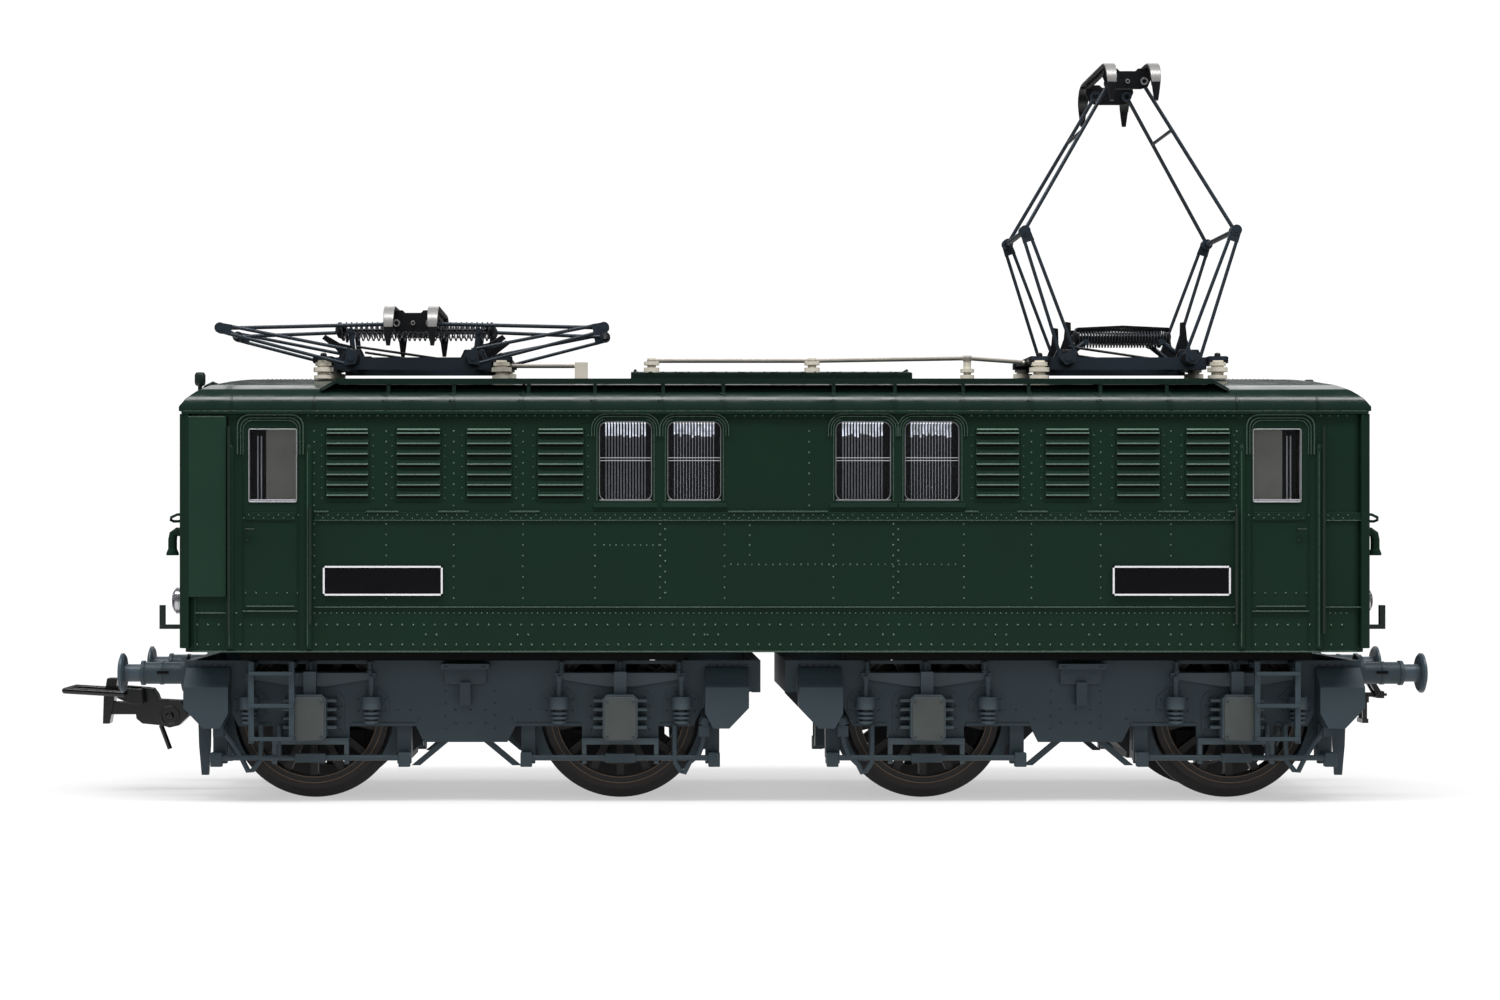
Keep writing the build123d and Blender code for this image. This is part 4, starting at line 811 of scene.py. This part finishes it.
def bogie_details(number, s):
    """Bolted plates, bolts, rivets, axlebox covers and sand pipes of one bogie."""
    d, covers, slot_shadows = Solids(), Solids(), Solids()
    turns = [pi * (2 * k + 1) / 8 for k in range(8)]
    corner = 1.95 / cos(pi / 8)         # corners of the eight-sided plates
    for side in (-1, 1):
        face = side * BOGIE_FACE
        out = (0, side, 0)
        for axle in (-HALF_BASE, HALF_BASE):
            for dx in (-6.85, 6.85):
                cx, cz = axle + dx, 10.75
                ring = [(cx + corner * cos(t), cz + corner * sin(t)) for t in turns]
                d.prism(ring, "y", face - side * 0.02, face + side * 0.14)
                for t in turns:
                    spot = (cx + 1.7 * cos(t), face + side * 0.1, cz + 1.7 * sin(t))
                    d.bolt(spot, out, 0.15, 0.12, 0.18)
            outline = rounded(axle - 3.75, axle + 3.75, 7.1, 12.35, 1.2)
            d.prism(outline, "y", face - side * 0.02, face + side * 0.14)
            for dx in (-3.1, 3.1):
                for z in (8.0, 9.3, 10.6, 11.6):
                    d.bolt((axle + dx * (0.93 if z > 11 else 1.08), face + side * 0.1, z), out,
                            head=0.12, height=0.18)
            # studs and nuts above the leaf spring
            for dx in (-6.6, 0.0, 6.6):
                d.turned((axle + dx, face + side * 0.35, 14.3), UP,
                        [(0.36, 0), (0.36, 0.4), (0.24, 0.45), (0.24, 1.1), (0.34, 1.15), (0.34, 1.35)],
                        8)
            # cover plate of the axlebox
            covers.prism(rounded(axle - 1.75, axle + 1.75, 7.05, 11.85, 0.5), "y", side * 15.3,
                    side * 15.72)
            # four bolts on the axlebox cover
            for dx in (-1.45, 1.45):
                for z in (7.5, 11.4):
                    d.bolt((axle + dx, side * 15.65, z), out)
        spots = [(-2.3, z) for z in (12.3, 10.95, 9.5, 8.1)] + [(3.3, z)
                for z in (12.3, 10.95, 9.5, 8.1)]
        spots += [(x, z) for x in (-1.15, 0.5, 2.2) for z in (10.2, 8.7)]
        spots += [(-7.6, 10.2), (-6.2, 10.2), (7.2, 10.2), (8.6, 10.2), (-5.2, 9.2), (5.2, 9.2)]
        for x, z in spots:
            d.rivet((x, face, z), out, 0.15, 0.1)
        for x in (-30.4, 27.4):
            d.row((x, face, 15.3), (0.85, 0, 0), 6, 0.13, 0.1, out)
        d.row((-31.7, side * 1.5, 15.2), (0, side * 1.5, 0), 7, 0.15, 0.1, (-1, 0, 0))
        for x in (-2.1, 2.1):
            d.bolt((x, side * 14.55, 15.1), out)
        # ledge rails along the lower edge between the pedestals
        for x0, x1 in ((-12.9, -5.7), (5.7, 12.9), (-25.4, -21.9), (21.9, 25.4)):
            d.box(x0, x1, face - side * 0.02, face + side * 0.18, 8.42, 8.75)
        # black plate in the slot of the buffer housing: painted shade
        slot_shadows.box(-34.95, -33.65, side * 11.6 - 0.1, side * 11.6 + 0.1, 14.25, 14.55)
        # sand valves and pipes
        y = side * 13.4
        for path in ([(-27.3, y, 8.2), (-26.8, y, 7.4), (-26.2, y, 6.6), (-25.2, y, 5.0),
                (-24.4, y, 3.4), (-23.9, y, 3.5), (-23.1, y, 4.5), (-22.95, y, 6.0), (-22.9, y, 8.6)],
                [(26.9, y, 8.8), (26.6, y, 6.4), (26.2, y, 5.2), (25.2, y, 4.4), (24.6, y, 3.2),
                (24.2, y, 3.4), (23.6, y, 4.3), (23.5, y, 6.0), (23.5, y, 8.6)]):
            d.tube(path, 0.3, 10)
        for x in (-27.6, 26.9):
            d.turned((x, side * 12.6, 9.0), out, [(0.75, 0), (0.75, 1.2), (0.55, 1.4), (0.45, 1.75)], 6)
            d.box(x - 0.7, x + 0.5, side * 12.6, side * 13.9, 7.3, 8.5)
        d.rod((-20.9, y, 8.6), (-20.9, y, 4.6), 0.28)
    place, body = bogie_matrix(s), f"bogie_{number}"
    make(f"{body}_bolts", body, "bogie_grey", d.placed(place))
    make(f"{body}_housing_slot_shadows", body, "bogie_grey", slot_shadows.placed(place), "painted_shadow_black")
    make(f"{body}_covers", body, "axlebox_grey", covers.placed(place), bevel=0.06)


def coupler():
    """Coupler shank: drop-nosed front plate, bar, and the head with its eye and pin."""
    c = Solids()
    c.prism([(-77.6, 7.9), (-76.8, 7.9), (-76.6, 8.9), (-76.3, 10.6), (-75.9, 13.1), (-76.2, 13.2),
            (-77.1, 13.2), (-77.5, 11.0)], "y", -1.0, 1.0)
    c.prism([(-76.6, 8.98), (-62.5, 8.98), (-62.5, 10.45), (-76.6, 10.45)], "y", -0.85, 0.85)
    head = [(-74.0, 11.3), (-72.96, 12.14), (-71.8, 12.0), (-71.3, 11.3), (-71.1, 10.74), (-68.4, 10.6),
            (-67.6, 8.75), (-68.7, 7.7), (-69.8, 7.45), (-70.6, 7.7), (-72.96, 7.93), (-73.65, 8.5)]
    c.prism(head, "y", -1.15, 1.15)
    c.turned((-62.1, 0, 8.3), UP, [(1.9, 0), (1.9, 2.5)], 24)
    c.rod((-70.96, 0, 7.7), (-69.9, 0, 4.9), 0.29)
    for side in (-1, 1):
        c.prism([(-74.0, 10.3), (-72.6, 10.3), (-72.7, 12.0), (-75.3, 12.2), (-75.6, 11.0)], "y",
                side * 2.2, side * 2.9)
        c.box(-74.0, -72.8, *sorted((side * 1.0, side * 2.4)), 10.4, 11.9)
        c.ring((-69.75, side * 1.1, 8.83), (0, side, 0), 1.17, 0.9, 0.16, 28)
        c.turned((-69.75, side * 1.1, 8.83), (0, side, 0), [(0.5, 0), (0.5, 0.1), (0.35, 0.25)], 16)
    made = make("coupler_body", "coupler", "coupler_black", c, bevel=0.08)
    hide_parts("coupler_shank")


def wheel_rims(number):
    """Dark ring of the tyre, with a fine light line of painted highlight at its outer and inner edge.
    """
    for place in ("outer", "inner"):
        centre = AXLES[number, place]
        r, lines = Solids(), Solids()
        for side in (-1, 1):
            hub = (centre.x, side * TYRE_FACE, AXLE_Z)
            r.ring(hub, (0, side, 0), 8.55, 7.97, 0.08, 72)
            # light lines at the outer and inner tyre edge: painted highlight
            lines.ring(hub, (0, side, 0), 7.95, 7.84, 0.10, 72)
            lines.ring(hub, (0, side, 0), 7.30, 7.21, 0.06, 72)
        body = f"wheelset_{number}_{place}"
        make(f"bogie_{number}_rims_{place}", body, "wheel_dark", r, "rim_brown")
        make(f"bogie_{number}_rim_highlights_{place}", body, "wheel_dark", lines, "rim_highlight")


def pantograph_head(number):
    """Collector head: bright outer skin on both pans; inner faces in black as painted shade; black tips
    and link plates.
    """
    p = f"pantograph_{number}"
    low, high = span(f"{p}_head")
    cx, top = (low.x + high.x) / 2, high.z
    pans, plates, bolts = Solids(), Solids(), Solids()
    curve = [(7.0, 0.0, 0.6), (8.6, -0.12, 0.6), (9.7, -0.55, 0.6), (10.4, -1.3, 0.6),
            (10.75, -1.95, 0.56), (10.87, -2.6, 0.5), (10.95, -3.7, 0.36), (10.98, -4.7, 0.22)]
    for dx in (-2.5, 2.5):
        flat = [(-y, z, w) for y, z, w in reversed(curve[:6])] + curve[:6]
        pans.loft([[(cx + dx - w, y, top + z), (cx + dx + w, y, top + z),
                (cx + dx + w, y * (1 - 0.012 * (z < 0)), top + z - 0.16),
                (cx + dx - w, y * (1 - 0.012 * (z < 0)), top + z - 0.16)] for y, z, w in flat])
        for side in (-1, 1):
            # black inner face, painted shade for the dark that the pan's inside reflects, and the black
            # tip of the horn
            plates.loft([[(cx + dx - w, side * (y - 0.12), top + z - 0.14),
                    (cx + dx + w, side * (y - 0.12), top + z - 0.14),
                    (cx + dx + w, side * (y - 0.42), top + z - 0.4),
                    (cx + dx - w, side * (y - 0.42), top + z - 0.4)] for y, z, w in curve[1:6]])
            plates.loft([[(cx + dx - w, side * y, top + z), (cx + dx + w, side * y, top + z),
                    (cx + dx + w, side * (y - 0.4), top + z - 0.05),
                    (cx + dx - w, side * (y - 0.4), top + z - 0.05)] for y, z, w in curve[5:]])
        plates.box(cx + dx - 0.5, cx + dx + 0.5, -7.6, 7.6, top - 0.42, top - 0.14)
    for side in (-1, 1):
        y0, y1 = side * 6.02, side * 6.42
        plates.prism([(cx - 2.35, top - 2.5), (cx - 1.6, top - 2.75), (cx + 1.6, top - 2.75),
                (cx + 2.35, top - 2.5), (cx + 2.85, top - 1.3), (cx + 2.65, top - 0.4),
                (cx + 1.2, top - 0.4), (cx + 0.9, top - 0.7), (cx - 0.9, top - 0.7),
                (cx - 1.2, top - 0.4), (cx - 2.65, top - 0.4), (cx - 2.85, top - 1.3)], "y", y0, y1)
        for dx, radius in ((-1.9, 0.5), (1.9, 0.5), (0.0, 0.3)):
            plates.turned((cx + dx, y1, top - 1.9), (0, side, 0), [(radius, -0.1), (radius, 0.14)], 16)
            bolts.ring((cx + dx, y1 + side * 0.1, top - 1.9), (0, side, 0), radius * 0.86, radius * 0.5,
                    0.1, 20)
    head = make(f"{p}_pans", f"{p}_head", "pan_silver", pans, bevel=0.05)
    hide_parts(f"{p}_head")
    # cross shafts in black
    for side in (-1, 1):
        plates.rod((cx - 1.9, side * 4.7, top - 1.9), (cx - 1.9, side * 6.2, top - 1.9), 0.26)
        plates.rod((cx + 1.9, side * 5.9, top - 1.9), (cx + 1.9, side * 6.3, top - 1.9), 0.4)
    for x in (cx - 2.5, cx + 2.5):
        plates.rod((x, -6.2, top - 0.75), (x, 6.2, top - 0.75), 0.22)
    make(f"{p}_link_plates", f"{p}_head", "panto_dark", plates, "panto_black", bevel=0.03)
    make(f"{p}_head_bolts", f"{p}_head", "pan_silver", bolts, bevel=0.02)


def pantograph_springs(number):
    """Raising springs: open coils when lowered, close ones under a cover when raised."""
    p = f"pantograph_{number}"
    low, high = span(f"{p}_springs")
    cx = (low.x + high.x) / 2
    raised = high.x - low.x < 11
    reach, z, pitch = (5.2, 52.9, 0.34) if raised else (8.8, 53.7, 0.60)
    coils, guides = Solids(), Solids()
    for side in (-1, 1):
        y = side * 2.4
        steps = int(2 * reach / pitch) * 10
        path = [(cx - reach + 2 * reach * k / steps, y + 0.92 * cos(2 * pi * k / 10), z
                + 0.92 * sin(2 * pi * k / 10)) for k in range(steps + 1)]
        coils.tube(path, 0.09, 5)
        guides.rod((cx - reach, y, z), (cx + reach, y, z), 0.18)
        for x in (cx - reach, cx + reach):
            guides.turned((x, y, z), (1 if x > cx else -1, 0, 0),
                    [(0.95, -0.1), (0.95, 0.15), (0.3, 0.5)], 16)
        if raised:
            guides.prism([(cx - 5.4, z + 0.75), (cx - 5.3, z + 1.05), (cx, z + 1.3),
                    (cx + 5.3, z + 1.05), (cx + 5.4, z + 0.75), (cx, z + 1.05)], "y", y - 0.9, y + 0.9)
        for end in (-1, 1):
            guides.rod((cx + end * (reach - 0.3), y, z),
                    (cx + end * (reach - 0.3), side * 3.3, z - 1.0), 0.16)
    wound = make(f"{p}_coils", "frame", "pan_silver", coils, "spring_steel")
    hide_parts(f"{p}_springs")
    make(f"{p}_spring_rods", "frame", "panto_dark", guides, "panto_black", bevel=0.03)


def pantograph_cranks(number):
    """Bell cranks on the base shafts: upright when raised, laid outwards when lowered."""
    p = f"pantograph_{number}"
    low, high = span(f"{p}_base")
    angle = 0 if number == 2 else radians(ARM_TRAVEL)
    outline = arc(0, 0, 0.9, 190, 350) + [(1.3, 0.7), (0.75, 2.3), (0.7, 4.2), (0.1, 4.3), (-0.1, 2.3),
            (-0.55, 1.05)]
    for place, end in (("left", -1), ("right", 1)):
        x = (low.x + high.x) / 2 + end * ARM_PIVOT_X
        points = [(x - end * (u * cos(angle) - v * sin(angle)), ARM_PIVOT_Z + u * sin(angle)
                + v * cos(angle)) for u, v in outline]
        c = Solids()
        for side in (-1, 1):
            c.prism(points, "y", side * 4.75, side * 5.1)
        make(f"{p}_crank_{place}", f"{p}_lower_{place}", "panto_dark", c, "panto_black", bevel=0.05)


def pantograph_base(number):
    """Bosses, bolts and tie rods on the base frame."""
    p = f"pantograph_{number}"
    low, high = span(f"{p}_base")
    cx = (low.x + high.x) / 2
    s, bright = Solids(), Solids()
    for side in (-1, 1):
        y = side * 6.7
        for end in (-1, 1):
            x = cx + end * ARM_PIVOT_X
            s.turned((x, y, ARM_PIVOT_Z), (0, side, 0), [(0.95, -0.2), (0.95, 0.12), (0.75, 0.22)], 20)
            bright.turned((x, y + side * 0.2, ARM_PIVOT_Z), (0, side, 0),
                    [(0.35, 0), (0.35, 0.12), (0.25, 0.18)], 14)
            s.prism([(x - 2.3, 49.35), (x + 2.3, 49.35), (x + 1.5, 50.35), (x + 1.1, 51.2),
                    (x - 1.1, 51.2), (x - 1.5, 50.35)], "y", side * 6.15, side * 6.68)
            s.box(cx + end * 10.2 - 1.2, cx + end * 10.2 + 1.2, side * 5.9, side * 7.3, 49.6, 50.35)
            s.turned((cx + end * 10.2, side * 7.0, 50.3), UP, [(0.4, 0), (0.4, 0.35), (0.25, 0.5)], 6)
        s.tube([(cx - 6.6, side * 5.4, 51.6), (cx + 7.0, side * 5.4, 49.6)], 0.16, 8)
    make(f"{p}_base_brackets", "frame", "panto_dark", s, "panto_black", bevel=0.06)
    make(f"{p}_base_bolts", "frame", "pan_silver", bright, "bus_rod", bevel=0.02)


def roof_busbar():
    """Bare rods of the busbar with their terminal caps on the insulators."""
    s = Solids()
    runs = [[(-13.6, -3.0, 50.1), (5.0, -3.0, 50.1), (23.0, -3.0, 50.4), (29.4, -3.0, 49.95)],
            [(-30.0, -3.0, 49.5), (-22.6, -3.0, 49.5)]]
    for run in runs:
        s.tube(run, 0.25, 10)
    for x, z in ((-13.6, 50.35), (5.0, 50.35), (23.0, 50.65)):
        s.turned((x, -3.0, z - 0.5), UP, [(0.55, 0), (0.55, 0.35), (0.3, 0.55)], 14)
    make("roof_busbar_rods", "frame", "insulator_cream", s, "bus_rod")


def under_strips():
    """Black sheet of painted shade that closes the gap between the body and the bogies."""
    s = Solids()
    for x0, x1 in ((-59.5, -10.0), (8.0, 60.0)):
        s.box(x0, x1, WALL_Y + 1.4, WALL_Y + 8.0, 16.0, FLOOR_Z + 0.3)
    on_sides("under_shadow_sheet", "chassis_zinc", s, "painted_shadow_black")


# ---------------------------------------------------------------- stage, light and camera
def stage():
    """Plain pale floor, soft lights and the camera."""
    floor_mesh = bpy.data.meshes.new("floor")
    reach = 0.30
    sides = 96
    turns = [2 * pi * k / sides for k in range(sides)]
    ring = [(reach * cos(t), reach * sin(t), 0) for t in turns]
    floor_mesh.from_pydata(ring, [], [list(range(sides))])
    floor = bpy.data.objects.new("floor", floor_mesh)
    bpy.context.scene.collection.objects.link(floor)
    floor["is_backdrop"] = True
    nodes = Nodes("floor_white")
    nodes.shade({"Base Color": (0.27, 0.27, 0.27, 1), "Roughness": 0.9, "Specular IOR Level": 0.0,
            "Emission Color": (1, 1, 1, 1), "Emission Strength": 0.50})
    gradient = nodes.node("ShaderNodeTexGradient")
    gradient.gradient_type = "SPHERICAL"
    nodes.link(nodes.scaled([1 / reach] * 3), gradient.inputs["Vector"])
    nodes.link(nodes.spread(gradient.outputs["Fac"], 0, 1, (0.05, 0.62)), nodes.shader.inputs["Alpha"])
    floor_mesh.materials.append(nodes.material)

    world = bpy.data.worlds.new("studio")
    bpy.context.scene.world = world
    world.use_nodes = True
    tree = world.node_tree
    back = tree.nodes["Background"]
    back.inputs["Color"].default_value = (1, 1, 1, 1)
    path = tree.nodes.new("ShaderNodeLightPath")
    level = tree.nodes.new("ShaderNodeMapRange")
    level.inputs["To Min"].default_value = 0.10
    level.inputs["To Max"].default_value = 1.05
    tree.links.new(path.outputs["Is Camera Ray"], level.inputs["Value"])
    tree.links.new(level.outputs["Result"], back.inputs["Strength"])

    def area(name, size, power, at, look, glossy=True):
        data = bpy.data.lights.new(name, "AREA")
        data.shape = "RECTANGLE"
        data.size, data.size_y = size
        data.energy = power
        lamp = bpy.data.objects.new(name, data)
        lamp.location = at
        lamp.rotation_euler = (Vector(look) - Vector(at)).to_track_quat("-Z", "Y").to_euler()
        lamp.visible_glossy = glossy
        bpy.context.scene.collection.objects.link(lamp)

    area("top_softbox", (1.0, 0.45), 5.6, (0, -0.05, 0.50), (0, 0, 0.02), glossy=False)
    area("strip_softbox", (1.0, 0.08), 3.6, (0, -0.16, 0.50), (0, 0, 0.02))
    area("front_softbox", (1.2, 0.5), 3.0, (0.0, -0.80, 0.42), (0, 0, 0.02), glossy=False)
    area("back_softbox", (0.9, 0.3), 1.5, (0.0, 0.7, 0.45), (0, 0, 0.03))

    data = bpy.data.cameras.new("camera")
    data.lens = 69.55
    data.shift_x = 0.08
    data.shift_y = 0.0213
    data.sensor_width = 36.0
    data.clip_start = 0.01
    camera = bpy.data.objects.new("camera", data)
    camera.location = (-0.0161, -0.339, 0.03027)
    camera.rotation_euler = (radians(90), 0, 0)
    bpy.context.scene.collection.objects.link(camera)
    bpy.context.scene.camera = camera
    bpy.context.scene.view_settings.view_transform = "Standard"


# ---------------------------------------------------------------- all pieces
dress_cad_nodes()
body_rivets()
body_mouldings()
louvres()
nameplate_edges()
windows()
body_fittings()
roof_details()
under_strips()
for number, s in ((1, -1), (2, 1)):
    bogie_details(number, s)
    wheel_rims(number)
    pantograph_head(number)
    pantograph_springs(number)
    pantograph_base(number)
    pantograph_cranks(number)
roof_busbar()
coupler()
stage()

low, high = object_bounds()
